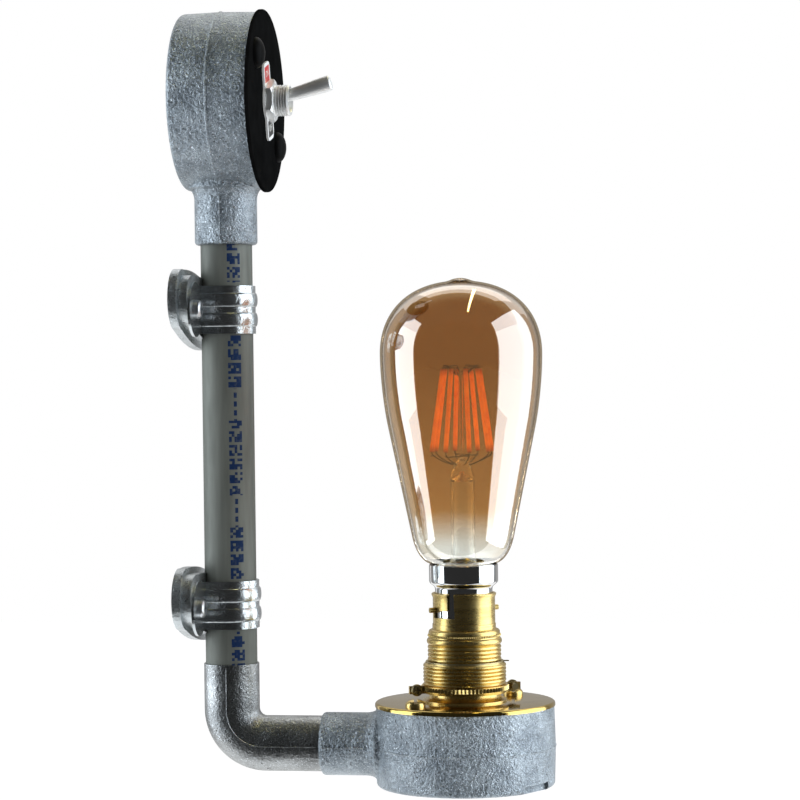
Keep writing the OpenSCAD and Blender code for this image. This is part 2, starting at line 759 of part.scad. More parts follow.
module toggle_lever() {
    root_r = lever_root_d / 2;
    end_r = lever_tip_d / 2;
    color([0.76, 0.76, 0.75]) on_lever() difference() {
        union() {
            rotate_extrude() polygon(concat([[0, -tail_end], [tail_r, -tail_end], [tail_r, -1], [root_r, 1],
                [root_r, lever_len / 6], [end_r, lever_len * 5 / 6]],
                arc([end_r - 0.9, lever_len - 0.9], 0.9, 0, 90, 5), [[0, lever_len]]));
            sphere(r = ball_r);
        }
        rotate([90, 0, 0]) cylinder(r = pivot_d / 2 + fit, h = 2 * ball_r + 2, center = true);
        translate([0, 0, -tail_end - 1]) cylinder(r = 0.9, h = tail_end - 3.4);
    }
}

module pivot_pin() {
    color([0.7, 0.7, 0.7]) on_wall() translate([0, 0, pivot_z]) rotate([90, 0, 0])
        cylinder(d = pivot_d, h = bush_d - 1.2, center = true);
}

module lever_plunger() {
    color([0.85, 0.8, 0.6]) on_lever() {
        translate([0, 0, -tail_end - 1]) cylinder(r = 0.9 - fit, h = 3);
        translate([0, 0, -tip_mid]) cylinder(r = tip_r, h = tip_mid - tail_end - slip);
        translate([0, 0, -tip_mid]) sphere(r = tip_r);
    }
}

// Coil of the lever's spring between the end of its hole and the plunger
lever_wire = 0.28;
lever_coil = coil(0.9 - fit - lever_wire / 2 - 0.03, 0.75, 6, -tail_end + 2.05 + lever_wire / 2);

module lever_spring() {
    color([0.7, 0.7, 0.7]) on_lever() tube(lever_coil, lever_wire / 2, 6);
}

module contact_rocker() {
    color([0.8, 0.5, 0.3]) on_wall() translate([0, 0, rocker_z]) rotate([0, -rocker_tilt, 0]) difference() {
        translate([-rocker_l / 2, -rocker_w / 2, 0]) cube([rocker_l, rocker_w, rocker_t]);
        rotate([90, 0, 0]) cylinder(r = fulcrum_r + fit, h = rocker_w + 2, center = true);
    }
}

module conduit_pipe() {
    full_top = -(spout_end - mouth_in);
    full_low = elbow_top + slip;
    color([0.68, 0.67, 0.64]) translate([pipe_x, 0, 0]) difference() {
        union() {
            translate([0, 0, pipe_low]) cylinder(r = thread_r, h = pipe_top - pipe_low);
            translate([0, 0, full_low]) cylinder(r = pipe_r, h = full_top - full_low);
        }
        translate([0, 0, pipe_low - 1]) cylinder(r = pipe_in, h = pipe_top - pipe_low + 2);
    }
}

// Turns a flat outline so that its x runs along Y, its y along Z and its thickness along X
module facing_out() {
    rotate([90, 0, 90]) children();
}

// The base is a long eye: two flat arcs that run into round ends
module base_outline(less) {
    end_r = base_end_d / 2 - less;
    half = base_h / 2 - less;
    reach = base_len / 2 - base_end_d / 2;
    rise = half - end_r;
    arc_r = (reach * reach + rise * rise) / (2 * rise);
    intersection() {
        translate([0, arc_r - half]) circle(r = arc_r);
        translate([0, half - arc_r]) circle(r = arc_r);
        square([2 * reach, base_h], center = true);
    }
    for (side = [-1, 1]) {
        translate([side * reach, 0]) circle(r = end_r);
    }
}

module saddle_base() {
    color([0.72, 0.73, 0.75]) difference() {
        union() {
            facing_out() rotate([0, 0, -base_turn]) linear_extrude(base_flange) base_outline(0);
            facing_out() rotate([0, 0, -base_turn]) linear_extrude(base_front) base_outline(base_step);
        }
        translate([pipe_x, 0, -base_h]) cylinder(r = strap_in, h = 2 * base_h);
        for (side = [-1, 1]) {
            translate([1.5, side * strap_screw_pitch / 2, 0]) rotate([0, 90, 0])
                cylinder(r = m4_r + fit, h = base_front);
        }
        translate([-1, 0, 0]) rotate([0, 90, 0]) cylinder(d = wall_hole_d, h = base_front + 2);
        translate([base_front - cradle - 2.4, 0, 0]) rotate([0, 90, 0])
            cylinder(d1 = wall_hole_d, d2 = wall_sink_d, h = 2.4);
    }
}

function strap_profile() = concat([[strap_in, -strap_w / 2], [strap_out, -strap_w / 2]],
    [for (side = [-1, 1], a = [-90 : 15 : 90])
        [strap_out + rib_h * cos(a), side * rib_pitch / 2 + rib_w * sin(a)]],
    [[strap_out, strap_w / 2], [strap_in, strap_w / 2]]);

module saddle_strap() {
    ear_r = ear_d / 2;
    color([0.74, 0.75, 0.77]) {
        translate([pipe_x, 0, 0]) rotate([0, 0, -90]) rotate_extrude(angle = 180) polygon(strap_profile());
        for (side = [0, 1]) {
            mirror([0, side, 0]) {
                translate([ear_front - 0.2, 0, 0]) facing_out() linear_extrude(pipe_x - ear_front + 0.2)
                    polygon(strap_profile());
                difference() {
                    translate([base_front, 0, 0]) facing_out() linear_extrude(strap_t) {
                        translate([strap_in, -strap_w / 2]) square([ear_reach - ear_r - strap_in, strap_w]);
                        translate([ear_reach - ear_r, 0]) circle(r = ear_r);
                    }
                    translate([0, strap_screw_pitch / 2, 0]) rotate([0, 90, 0])
                        cylinder(r = m4_r + screw_gap, h = ear_front + 2);
                    translate([pipe_x, 0, -strap_w]) cylinder(r = strap_in, h = 2 * strap_w);
                }
            }
        }
    }
}

module strap_screws() {
    color([0.78, 0.79, 0.8]) for (side = [-1, 1]) {
        translate([ear_front, side * strap_screw_pitch / 2, 0]) rotate([0, 90, 0])
            cross_screw(3.6, 2.4, m4_r, ear_front - 2);
    }
}

module at_upper_saddle() {
    translate([0, 0, -saddle_top]) children();
}

module at_lower_saddle() {
    translate([0, 0, -saddle_top - saddle_pitch]) children();
}

module upper_saddle_base() {
    at_upper_saddle() saddle_base();
}

module upper_saddle_strap() {
    at_upper_saddle() saddle_strap();
}

module upper_strap_screws() {
    at_upper_saddle() strap_screws();
}

module lower_saddle_base() {
    at_lower_saddle() saddle_base();
}

module lower_saddle_strap() {
    at_lower_saddle() saddle_strap();
}

module lower_strap_screws() {
    at_lower_saddle() strap_screws();
}

// The bend starts on the conduit's axis and ends on the arm's
module on_bend() {
    translate([pipe_x + elbow_bend, 0, arm_z + elbow_bend]) rotate([-90, 0, 180]) children();
}

module elbow_run(r, top, end) {
    translate([pipe_x, 0, arm_z + elbow_bend]) cylinder(r = r, h = top - arm_z - elbow_bend);
    on_bend() rotate_extrude(angle = 90) translate([elbow_bend, 0]) circle(r = r);
    translate([pipe_x + elbow_bend, 0, arm_z]) rotate([0, 90, 0])
        cylinder(r = r, h = end - pipe_x - elbow_bend);
}

module elbow_seam() {
    ridge = [[-seam_w, elbow_r - 0.5], [0, elbow_r + seam_h], [seam_w, elbow_r - 0.5]];
    for (side = [0, 1]) {
        mirror([0, side, 0]) {
            translate([pipe_x, 0, arm_z + elbow_bend])
                linear_extrude(elbow_leg - elbow_bend - 1) polygon(ridge);
            on_bend() rotate_extrude(angle = 90) translate([elbow_bend, 0]) polygon(ridge);
            translate([pipe_x + elbow_bend, 0, arm_z]) rotate([0, 90, 0])
                linear_extrude(elbow_end - pipe_x - elbow_bend - 1) polygon(ridge);
        }
    }
}

module elbow() {
    color([0.62, 0.64, 0.66]) difference() {
        union() {
            elbow_run(elbow_r, elbow_top, elbow_end);
            elbow_seam();
            translate([elbow_end - 1, 0, arm_z]) rotate([0, 90, 0]) cylinder(r = thread_r, h = thread_len + 1);
        }
        elbow_run(elbow_bore / 2, elbow_top + 1, spigot_end + 1);
        translate([pipe_x, 0, elbow_top - socket_len]) cylinder(r = socket_r, h = socket_len + 1);
    }
}

module lamp_box() {
    color([0.62, 0.64, 0.66]) at_lamp_box() round_box();
}

module brass_plate() {
    color([0.84, 0.66, 0.32]) at_holder() difference() {
        rotate_extrude() polygon(concat([[0, -brass_t], [plate_r, -brass_t], [plate_r, -brass_t * 0.6]],
            arc([plate_r - brass_t * 0.6, -brass_t * 0.6], brass_t * 0.6, 0, 90, 6), [[0, 0]]));
        translate([0, 0, -brass_t - 1]) cylinder(d = wire_hole_d, h = brass_t + 2);
        at_both(lug_angle, lug_r) translate([0, 0, -brass_t - 1])
            cylinder(r = m4_r + screw_gap, h = brass_t + 2);
    }
}

module plate_screws() {
    color([0.84, 0.66, 0.32]) at_holder() at_both(lug_angle, lug_r) rotate([0, 0, 50])
        round_screw(brass_head_d / 2, brass_head_h, m4_r, brass_t + screw_grip, brass_slot);
}

module holder_neck() {
    foot_r = foot_d / 2;
    foot_t = 0.7;
    flare = min(foot_r - neck_r, ring_z - foot_t - 0.4);
    color([0.84, 0.66, 0.32]) at_holder() difference() {
        rotate_extrude() polygon(concat([[0, 0], [foot_r, 0], [foot_r, foot_t], [neck_r + flare, foot_t]],
            [for (a = [15 : 15 : 90]) [neck_r + flare * (1 - sin(a)), foot_t + flare * (1 - cos(a))]],
            [[neck_r, low_z], [0, low_z]]));
        translate([0, 0, -1]) cylinder(r = core_r + slip, h = low_z + 2);
    }
}

// Local frame of a clamp ear: x out along the ear, y across it, at half the ring's height
module on_ears() {
    for (turn = [0, 180]) {
        rotate([0, 0, ear_angle + turn]) translate([0, 0, ring_z + ring_h / 2]) children();
    }
}

clamp_head_r = 2.3;
clamp_hole = ring_d / 2 + clamp_gap + clamp_head_r;
clamp_reach = clamp_hole + clamp_head_r + 0.4;

module knurled_ring() {
    ring_r = ring_d / 2;
    color([0.84, 0.66, 0.32]) at_holder() difference() {
        union() {
            translate([0, 0, ring_z]) cylinder(r1 = ring_r - 0.9, r2 = ring_r - 0.4, h = ring_h);
            translate([0, 0, ring_z + ring_h * 0.36]) linear_extrude(ring_h * 0.52)
                polygon([for (i = [0 : 2 * ring_teeth - 1])
                    let (a = 180 * i / ring_teeth) (i % 2 == 0 ? ring_r : ring_r - 0.55) * [cos(a), sin(a)]]);
            on_ears() translate([neck_r + 1, -clamp_t / 2, -ring_h / 2])
                cube([clamp_reach - neck_r - 1, clamp_t, ring_h]);
        }
        translate([0, 0, ring_z - 1]) cylinder(r = screwed_r, h = ring_h + 2);
        on_ears() translate([clamp_hole, 0, 0]) rotate([90, 0, 0])
            cylinder(r = 1.25 + fit, h = 8, center = true);
    }
}

module clamp_screws() {
    color([0.86, 0.8, 0.6]) at_holder() on_ears() translate([clamp_hole, clamp_t / 2, 0]) rotate([-90, 0, 0])
        cross_screw(clamp_head_r, 1.6, 1.25, clamp_t + 2);
}

// A ribbed outline, from one height to another, of rounded ribs
function ribs(r, depth, from, to, count) = [for (i = [0 : count * 6])
    [r - depth * (0.5 + 0.5 * cos(60 * i)), from + (to - from) * i / (count * 6)]];

module lower_shell() {
    shell_r = low_shell_d / 2;
    end = low_z + low_shell_h;
    color([0.84, 0.66, 0.32]) at_holder() difference() {
        rotate_extrude() polygon(concat([[0, low_z], [shell_r - 0.5, low_z], [shell_r, low_z + 0.5]],
            ribs(shell_r, shell_rib, low_z + 1.2, end - 0.5, low_ribs), [[shell_r - 0.8, end], [0, end]]));
        translate([0, 0, low_z - 1]) cylinder(r = screwed_r + slip, h = low_shell_h + 2);
    }
}

// The thin split ring between the two shells, with the tail that shows
module split_clip() {
    color([0.86, 0.76, 0.5]) at_holder() translate([0, 0, low_z + low_shell_h + slip]) difference() {
        union() {
            cylinder(r = low_shell_d / 2 - 1, h = clip_t);
            rotate([0, 0, 6]) translate([neck_r + 0.5, -0.6, 0]) cube([3, 1.2, clip_t]);
        }
        translate([0, 0, -1]) cylinder(r = screwed_r + slip, h = clip_t + 2);
        rotate([0, 0, 96]) translate([neck_r - 1, -0.5, -1]) cube([5, 1, clip_t + 2]);
    }
}

module upper_shell() {
    shell_r = top_shell_d / 2;
    bulge = shoulder_z - 2.9;
    color([0.84, 0.66, 0.32]) at_holder() difference() {
        rotate_extrude() polygon(concat([[0, low_z + slip], [neck_r, low_z + slip], [neck_r, top_z]],
            ribs(shell_r, shell_rib, top_z, bulge - 1.5, top_ribs), arc([shell_r - 1.2, bulge], 1.5, -60, 60, 6),
            [[shell_r - 0.5, shoulder_z - 1.4], [shell_r - 0.2, shoulder_z - 1.2], [shell_r - 0.2, shoulder_z - 0.3]],
            curve([shell_r - 0.5, shoulder_z], [shell_r - 0.8, shoulder_z + shoulder_h * 0.4],
                [sleeve_r + 0.7, shoulder_z + shoulder_h * 0.6], [sleeve_r + 0.4, sleeve_z], 6), [[0, sleeve_z]]));
        translate([0, 0, low_z - 1]) cylinder(r = sleeve_r + slip, h = sleeve_z);
    }
}

// A stretch of one bayonet slot, between two directions and two heights
module slot_stretch(from, to, low, high) {
    rotate([0, 0, from]) rotate_extrude(angle = to - from)
        translate([sleeve_in / 2, low]) square([lip_d, high - low]);
}

// One bayonet slot, for a pin that points along local x once it is seated
module bayonet_slot() {
    floor_z = pin_z - pin_r - push - 0.2;
    roof_z = pin_z + pin_r - hook + 0.4;
    half = asin(slot_w / sleeve_d);
    low = (floor_z + roof_z) / 2;
    slot_stretch(-half - 1, slot_turn + half + 1, floor_z, roof_z);
    slot_stretch(-half, half, low, pin_z + pin_r + slip);
    slot_stretch(slot_turn - half, slot_turn + half, low, sleeve_top + 2);
}

module bayonet_sleeve() {
    color([0.84, 0.66, 0.32]) at_holder() difference() {
        rotate_extrude() polygon([[sleeve_in, low_z + slip], [sleeve_r, low_z + slip],
            [sleeve_r, sleeve_top - 1.6], [lip_d / 2 - 0.1, sleeve_top - 0.8],
            [lip_d / 2, sleeve_top - 0.3], [lip_d / 2 - 0.3, sleeve_top],
            [sleeve_in + 0.2, sleeve_top], [sleeve_in, sleeve_top - 0.5]]);
        for (turn = [0, 180]) {
            rotate([0, 0, pin_angle + turn]) bayonet_slot();
        }
    }
}

module at_plungers() {
    at_holder() at_both(pin_angle + 90, plunger_r) children();
}

module holder_core() {
    color([0.92, 0.91, 0.88]) difference() {
        at_holder() cylinder(r = core_r, h = core_h);
        at_plungers() {
            translate([0, 0, -1]) cylinder(r = 2.6, h = core_h - 4);
            cylinder(r = plunger_d / 2 + fit, h = core_h + 1);
        }
    }
}

barrel_low = -6;

module holder_barrels() {
    color([0.8, 0.66, 0.3]) at_plungers() difference() {
        translate([0, 0, barrel_low]) cylinder(r = 2.6 - slip, h = barrel_top - barrel_low);
        translate([0, 0, barrel_low + 2]) rotate([0, 90, 0]) cylinder(r = 1 + fit, h = 5);
    }
}

module barrel_screws() {
    color([0.8, 0.66, 0.3]) at_plungers() translate([0.5, 0, barrel_low + 2]) rotate([0, 90, 0]) difference() {
        cylinder(r = 1, h = 3);
        translate([-2, -0.2, 2.4]) cube([4, 0.4, 2]);
    }
}

module contact_plungers() {
    r = plunger_d / 2;
    color([0.82, 0.68, 0.35]) at_plungers() {
        rotate_extrude() polygon([[0, collar_z - 1], [1.2, collar_z - 1], [1.2, collar_z], [2.5, collar_z],
            [2.5, collar_z + 0.8], [r, collar_z + 0.8], [r, plunger_top - 0.5], [r - 0.5, plunger_top],
            [0, plunger_top]]);
    }
}

// Coils of the plunger springs between the barrels and the plungers' collars
plunger_wire = 0.5;
plunger_turns = 6;
plunger_pitch = (collar_z - barrel_top - plunger_wire - 0.2) / plunger_turns;
plunger_coil = coil(1.95, plunger_pitch, plunger_turns, barrel_top + plunger_wire / 2 + 0.05);

module plunger_springs() {
    color([0.7, 0.7, 0.7]) at_plungers() tube(plunger_coil, plunger_wire / 2, 6);
}

module lamp_cap() {
    cap_r = cap_d / 2;
    cone = pin_z + cap_over;
    color([0.8, 0.8, 0.8]) at_holder() difference() {
        rotate_extrude() polygon([[cap_r - cap_wall, cap_low], [cap_r, cap_low], [cap_r, cone],
            [tier_r, cone + cap_cone], [tier_r, cap_top - 0.3], [tier_r - 0.3, cap_top],
            [tier_r - cap_wall, cap_top],
            [tier_r - cap_wall, cone + cap_cone + 0.2], [cap_r - cap_wall, cone + 0.2]]);
        rotate([0, 0, pin_angle]) translate([0, 0, pin_z]) rotate([0, 90, 0])
            cylinder(r = pin_r + 0.01, h = pin_span, center = true);
    }
}

module cap_pins() {
    color([0.8, 0.66, 0.3]) at_holder() at_both(pin_angle, cap_d / 2 - cap_wall - 0.6) translate([0, 0, pin_z])
        rotate([0, 90, 0]) {
            cylinder(r = pin_r, h = pin_span / 2 - cap_d / 2 + cap_wall + 0.6);
            cylinder(r = pin_r + 0.5, h = 0.5);
        }
}

module cap_insulator() {
    color([0.05, 0.05, 0.05]) at_holder() difference() {
        translate([0, 0, cap_low]) cylinder(r = cap_d / 2 - cap_wall - slip, h = pad_t);
        at_both(pin_angle + 90, plunger_r) translate([0, 0, cap_low - 1])
            cylinder(r = contact_stem_r + slip, h = pad_t + 2);
    }
}

module cap_contacts() {
    color([0.75, 0.75, 0.75]) at_plungers() {
        translate([0, 0, contact_z]) cylinder(r = contact_r, h = contact_t);
        translate([0, 0, cap_low - contact_t / 2]) cylinder(r = contact_stem_r, h = pad_t);
    }
}

// The board stands on the insulator, with its capacitor against it
module lamp_driver() {
    foot = cap_low + pad_t;
    color([0.85, 0.83, 0.75]) at_holder() rotate([0, 0, pin_angle + 90]) {
        translate([-6.5, -0.6, foot]) cube([13, 1.2, 12]);
        translate([1, 0.6 + 2.6, foot + 2]) cylinder(r = 2.6, h = 8);
    }
}

// The glass from its neck in the cap to its tip, scaled from the sizes above
function glass_at(r, h) = [r * glass_r, cap_top + h * glass_h];
function glass_side() = concat([[glass_neck_r, cap_top - 5], [glass_neck_r, cap_top + 0.1]],
    curve([tier_r, cap_top + 0.4], glass_at(0.529, 0.015), glass_at(0.6, 0.0555), glass_at(0.632, 0.102), 8),
    curve(glass_at(0.906, 0.482), glass_at(0.955, 0.55), glass_at(1, 0.656), glass_at(1, 0.744), 8),
    [for (p = curve(glass_at(1, 0.744), glass_at(1, 0.887), glass_at(0.661, 1), glass_at(0, 1), 16))
        if (p.x < glass_r && p.x > 4.6) p],
    [[3.7, cap_top + glass_h + 0.1], [2.7, cap_top + glass_h + 0.65], [1.4, cap_top + glass_h + 0.95]]);

module glass_bulb() {
    side = glass_side();
    tip = cap_top + glass_h + 1;
    color([0.85, 0.6, 0.3, 0.35]) at_holder() rotate_extrude()
        polygon(concat(side, [[0, tip], [0, tip - 1.4 * glass_t - 0.6]],
            reversed([for (p = inset(side, glass_t)) if (p.x > 1.2) p])));
}

// The stem rises from a flare in the glass neck to the rod that the filaments hang from
module glass_stem() {
    low = cap_top - 4.6;
    flare_r = glass_neck_r - glass_t - slip;
    pinch = cap_top + stem_pinch;
    rod = 1;
    rod_top = cap_top + filament_top - 1.2;
    flare = curve([flare_r, low], [stem_r + 1.2, low + 1.5], [stem_r, low + 5], [stem_r, low + 11], 8);
    outer = concat(flare, [[stem_r, pinch], [stem_r * 0.66, pinch + stem_taper], [rod, pinch + stem_taper * 1.4],
        [rod, rod_top - 2], [rod + 0.7, rod_top - 1], [rod + 0.5, rod_top], [0, rod_top + 0.3]]);
    inner = [for (p = flare) p - [0.9, 0]];
    color([0.85, 0.87, 0.88, 0.5]) at_holder() rotate_extrude()
        polygon(concat(outer, [[0, pinch + 2], [stem_r - 0.9, pinch - 2]], reversed(inner)));
}

// Both ends of one filament, in the plane of local x and z
filament_a = [filament_low_r, 0, cap_top + filament_low];
filament_b = [filament_top_r, 0, cap_top + filament_top];
filament_dir = unit(filament_b - filament_a);

module rod_between(a, b, r) {
    v = b - a;
    translate(a) rotate([0, acos(v.z / norm(v)), atan2(v.y, v.x)]) cylinder(r = r, h = norm(v));
}

module around_filaments() {
    for (i = [0 : filaments - 1]) {
        rotate([0, 0, 360 * (i + filament_start) / filaments]) children();
    }
}

module filament_sticks() {
    color([0.95, 0.6, 0.15]) at_holder() around_filaments() rod_between(filament_a, filament_b, filament_d / 2);
}

module support_wires() {
    r = support_d / 2;
    low = filament_a - 1.6 * filament_dir;
    top = filament_b + 1.2 * filament_dir;
    hub = [stem_r * 0.66 + r + 0.45, 0, cap_top + stem_pinch + stem_taper * 0.9];
    crown = [1.7 + r + 0.1, 0, cap_top + filament_top - 2.2];
    color([0.25, 0.24, 0.22]) at_holder() around_filaments() {
        tube(route([hub, (hub + low) / 2 + [0, 0, -0.6], low, filament_a - 0.3 * filament_dir], 4), r, 6);
        tube(route([crown, (crown + top) / 2 + [0, 0, 0.5], top, filament_b + 0.3 * filament_dir], 4), r, 6);
    }
}

// Routes of the wires: out of the switch or the connector, down the conduit, round the elbow, up to the holder
wire_split = pipe_low;
arm_split = spigot_end;

tab_end = case_back - tab_len;
live_bend = [[tab_end + 1.2, 0, pad_x - tab_t / 2 - wire_r * 0.2], [tab_end + 1.4, 0, -16],
    [tab_end + 2.6, -wire_off * 0.4, -23], [pipe_x - 2.5, -wire_off * 0.9, -33], [pipe_x, -wire_off, -43],
    [pipe_x, -wire_off, -52]];
live_route = concat(route(live_bend, 7), [[pipe_x, -wire_off, wire_split]]);
neutral_entry = [neutral_at.z + 5, -neutral_at.y, neutral_at.x - neutral_size.x / 2 + 0.6 - 3 * slip];
neutral_bend = [neutral_entry, neutral_entry - [0, 0.2, 5], [8, 12, -10], [9, 6.5, -20],
    [pipe_x - 1.5, wire_off * 1.3, -33], [pipe_x, wire_off, -43], [pipe_x, wire_off, -52]];
neutral_route = concat(route(neutral_bend, 7), [[pipe_x, wire_off, wire_split]]);

module live_wire_pipe() {
    color([0.45, 0.25, 0.12]) tube(live_route, wire_r);
}

module neutral_wire_pipe() {
    color([0.15, 0.3, 0.6]) tube(neutral_route, wire_r);
}

module arm_wires() {
    for (side = [-1, 1]) {
        color(side < 0 ? [0.45, 0.25, 0.12] : [0.15, 0.3, 0.6]) translate([0, side * wire_off, 0]) {
            translate([pipe_x, 0, arm_z + elbow_bend])
                cylinder(r = wire_r, h = wire_split - arm_z - elbow_bend);
            on_bend() rotate_extrude(angle = 90) translate([elbow_bend, 0]) circle(r = wire_r);
            translate([pipe_x + elbow_bend, 0, arm_z]) rotate([0, 90, 0])
                cylinder(r = wire_r, h = arm_split - pipe_x - elbow_bend);
        }
    }
}

module lamp_wires() {
    for (side = [-1, 1]) {
        turn = pin_angle + 90 + (side < 0 ? 0 : 180);
        at = [lamp_x + plunger_r * cos(turn), plunger_r * sin(turn), lamp_z + barrel_low - 3 * slip];
        y = side * wire_off;
        color(side < 0 ? [0.45, 0.25, 0.12] : [0.15, 0.3, 0.6])
            tube(route([[arm_split, y, arm_z], [arm_split + 6, y, arm_z], [arm_split + 14, y, arm_z],
                [lamp_x - 16, y * 1.2, arm_z - 1], [at.x - 5, (at.y + y) / 2, arm_z + 0.5],
                [at.x, at.y, at.z - 4], at], 7), wire_r);
    }
}

// Least gap between the turns of each spring
function coil_gap(p, wire, turn = 14) =
    min([for (i = [0 : len(p) - 1 - turn]) norm(p[i + turn] - p[i])]) - wire;
echo(lever_spring_gap = coil_gap(lever_coil, lever_wire));
echo(plunger_spring_gap = coil_gap(plunger_coil, plunger_wire));

switch_box();
entry_grommet();
earth_screw();
neutral_body();
neutral_barrel();
neutral_screws();
switch_lid();
lid_screws();
screw_caps();
legend_plate();
front_nut();
lock_washer();
back_nut();
switch_bushing();
switch_case();
centre_terminal();
end_terminal();
toggle_lever();
pivot_pin();
lever_plunger();
lever_spring();
contact_rocker();
conduit_pipe();
upper_saddle_base();
upper_saddle_strap();
upper_strap_screws();
lower_saddle_base();
lower_saddle_strap();
lower_strap_screws();
elbow();
lamp_box();
brass_plate();
plate_screws();
holder_neck();
knurled_ring();
clamp_screws();
lower_shell();
split_clip();
upper_shell();
bayonet_sleeve();
holder_core();
holder_barrels();
barrel_screws();
plunger_springs();
contact_plungers();
lamp_cap();
cap_pins();
cap_insulator();
cap_contacts();
lamp_driver();
glass_bulb();
glass_stem();
filament_sticks();
support_wires();
live_wire_pipe();
neutral_wire_pipe();
arm_wires();
lamp_wires();
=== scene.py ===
import json
import math
import bmesh
import bpy
from mathutils import Matrix, Vector
from mathutils.geometry import interpolate_bezier

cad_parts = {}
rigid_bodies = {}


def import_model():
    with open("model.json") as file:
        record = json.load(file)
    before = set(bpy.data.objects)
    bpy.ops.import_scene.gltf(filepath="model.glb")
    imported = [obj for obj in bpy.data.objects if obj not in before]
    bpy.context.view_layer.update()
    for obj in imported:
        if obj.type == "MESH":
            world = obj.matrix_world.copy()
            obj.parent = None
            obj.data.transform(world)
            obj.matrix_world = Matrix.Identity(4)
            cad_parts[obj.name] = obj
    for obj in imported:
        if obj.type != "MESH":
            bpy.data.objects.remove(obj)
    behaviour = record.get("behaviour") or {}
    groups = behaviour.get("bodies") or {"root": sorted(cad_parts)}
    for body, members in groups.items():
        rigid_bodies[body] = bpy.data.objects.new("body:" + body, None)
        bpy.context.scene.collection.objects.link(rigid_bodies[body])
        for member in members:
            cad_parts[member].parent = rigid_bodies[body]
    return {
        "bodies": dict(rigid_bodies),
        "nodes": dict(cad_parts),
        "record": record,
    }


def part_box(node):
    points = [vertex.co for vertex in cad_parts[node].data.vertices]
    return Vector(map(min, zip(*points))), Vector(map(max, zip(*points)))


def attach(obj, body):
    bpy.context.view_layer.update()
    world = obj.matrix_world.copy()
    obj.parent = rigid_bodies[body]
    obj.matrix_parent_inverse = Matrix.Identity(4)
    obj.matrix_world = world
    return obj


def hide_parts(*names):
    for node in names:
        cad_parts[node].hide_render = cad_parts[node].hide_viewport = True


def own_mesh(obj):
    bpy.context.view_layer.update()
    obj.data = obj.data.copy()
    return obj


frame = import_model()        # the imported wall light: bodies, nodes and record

nodes = frame["nodes"]
kept = set(nodes.values()) | set(frame["bodies"].values())
for stray in [o for o in bpy.data.objects if o not in kept]:
    bpy.data.objects.remove(stray)        # start-up cube, lamp and camera
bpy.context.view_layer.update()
scene = bpy.context.scene
scene.view_settings.view_transform = "Standard"
mm = 0.001


def addObject(name, data):
    made = bpy.data.objects.new(name, data)
    scene.collection.objects.link(made)
    return made


# the photograph's view: a long lens, almost level, a little in front of the wall
photoCamera = {"place": (0.2343, -0.9909, -0.1028), "yaw": 8.71, "pitch": -0.745, "roll": -0.70,
    "lens": 117.7, "sensor": 36, "clip": (0.05, 50)}


def placeCamera(view):
    yaw, pitch, roll = (math.radians(view[k]) for k in ("yaw", "pitch", "roll"))
    ahead = Vector((-math.sin(yaw) * math.cos(pitch), math.cos(yaw) * math.cos(pitch), math.sin(pitch)))
    level = Vector((math.cos(yaw), math.sin(yaw), 0))
    upright = level.cross(ahead)
    right = level * math.cos(roll) + upright * math.sin(roll)
    up = upright * math.cos(roll) - level * math.sin(roll)
    camera = addObject("photoCamera", bpy.data.cameras.new("photoCamera"))
    camera.data.lens = view["lens"]
    camera.data.sensor_width = view["sensor"]
    camera.data.clip_start, camera.data.clip_end = view["clip"]
    turn = Matrix((right, up, -ahead)).transposed().to_4x4()
    camera.matrix_world = Matrix.Translation(view["place"]) @ turn
    scene.camera = camera


placeCamera(photoCamera)


# short ways to wire shader and geometry trees
def socketOf(node, key):
    named = [s for s in node.inputs if s.name == key and s.enabled]
    return named[0] if named else node.inputs[key]


def addNode(tree, kind, inputs=None, **settings):
    node = tree.nodes.new(kind)
    for key, value in settings.items():
        setattr(node, key, value)
    for key, value in (inputs or {}).items():
        if isinstance(value, bpy.types.NodeSocket):
            tree.links.new(value, socketOf(node, key))
        else:
            socketOf(node, key).default_value = value
    return node


def calc(tree, operation, *values):
    return addNode(tree, "ShaderNodeMath", dict(enumerate(values)), operation=operation).outputs[0]


def vectorCalc(tree, operation, first, second):
    made = addNode(tree, "ShaderNodeVectorMath", {0: first, 1: second}, operation=operation).outputs
    return made["Value"] if operation == "DOT_PRODUCT" else made["Vector"]


def ramp(tree, value, low, high, toLow=0.0, toHigh=1.0):
    sockets = {"Value": value, "From Min": low, "From Max": high, "To Min": toLow, "To Max": toHigh}
    return addNode(tree, "ShaderNodeMapRange", sockets).outputs[0]


def mixColour(tree, factor, first, second):
    first, second = (c + (1,) if isinstance(c, tuple) else c for c in (first, second))
    return addNode(tree, "ShaderNodeMix", {0: factor, 6: first, 7: second}, data_type="RGBA").outputs[2]


def noise(tree, vector, scale, detail=3.0, rough=0.5, twist=0.0):
    sockets = {"Vector": vector, "Scale": scale, "Detail": detail, "Roughness": rough, "Distortion": twist}
    return addNode(tree, "ShaderNodeTexNoise", sockets).outputs[0]


def axesOf(tree, vector):
    return addNode(tree, "ShaderNodeSeparateXYZ", {0: vector}).outputs


def addSockets(group, inputs):
    for label, kind, value in inputs:
        socket = group.interface.new_socket(label, in_out="INPUT", socket_type=kind)
        if value is not None:
            socket.default_value = value


def shaderGroup(name, inputs, outputs):
    group = bpy.data.node_groups.new(name, "ShaderNodeTree")
    addSockets(group, inputs)
    for label in outputs:
        group.interface.new_socket(label, in_out="OUTPUT", socket_type="NodeSocketFloat")
    return group, addNode(group, "NodeGroupInput").outputs, addNode(group, "NodeGroupOutput").inputs


def placeGroup(tree, group, inputs):
    return addNode(tree, "ShaderNodeGroup", inputs, node_tree=group).outputs


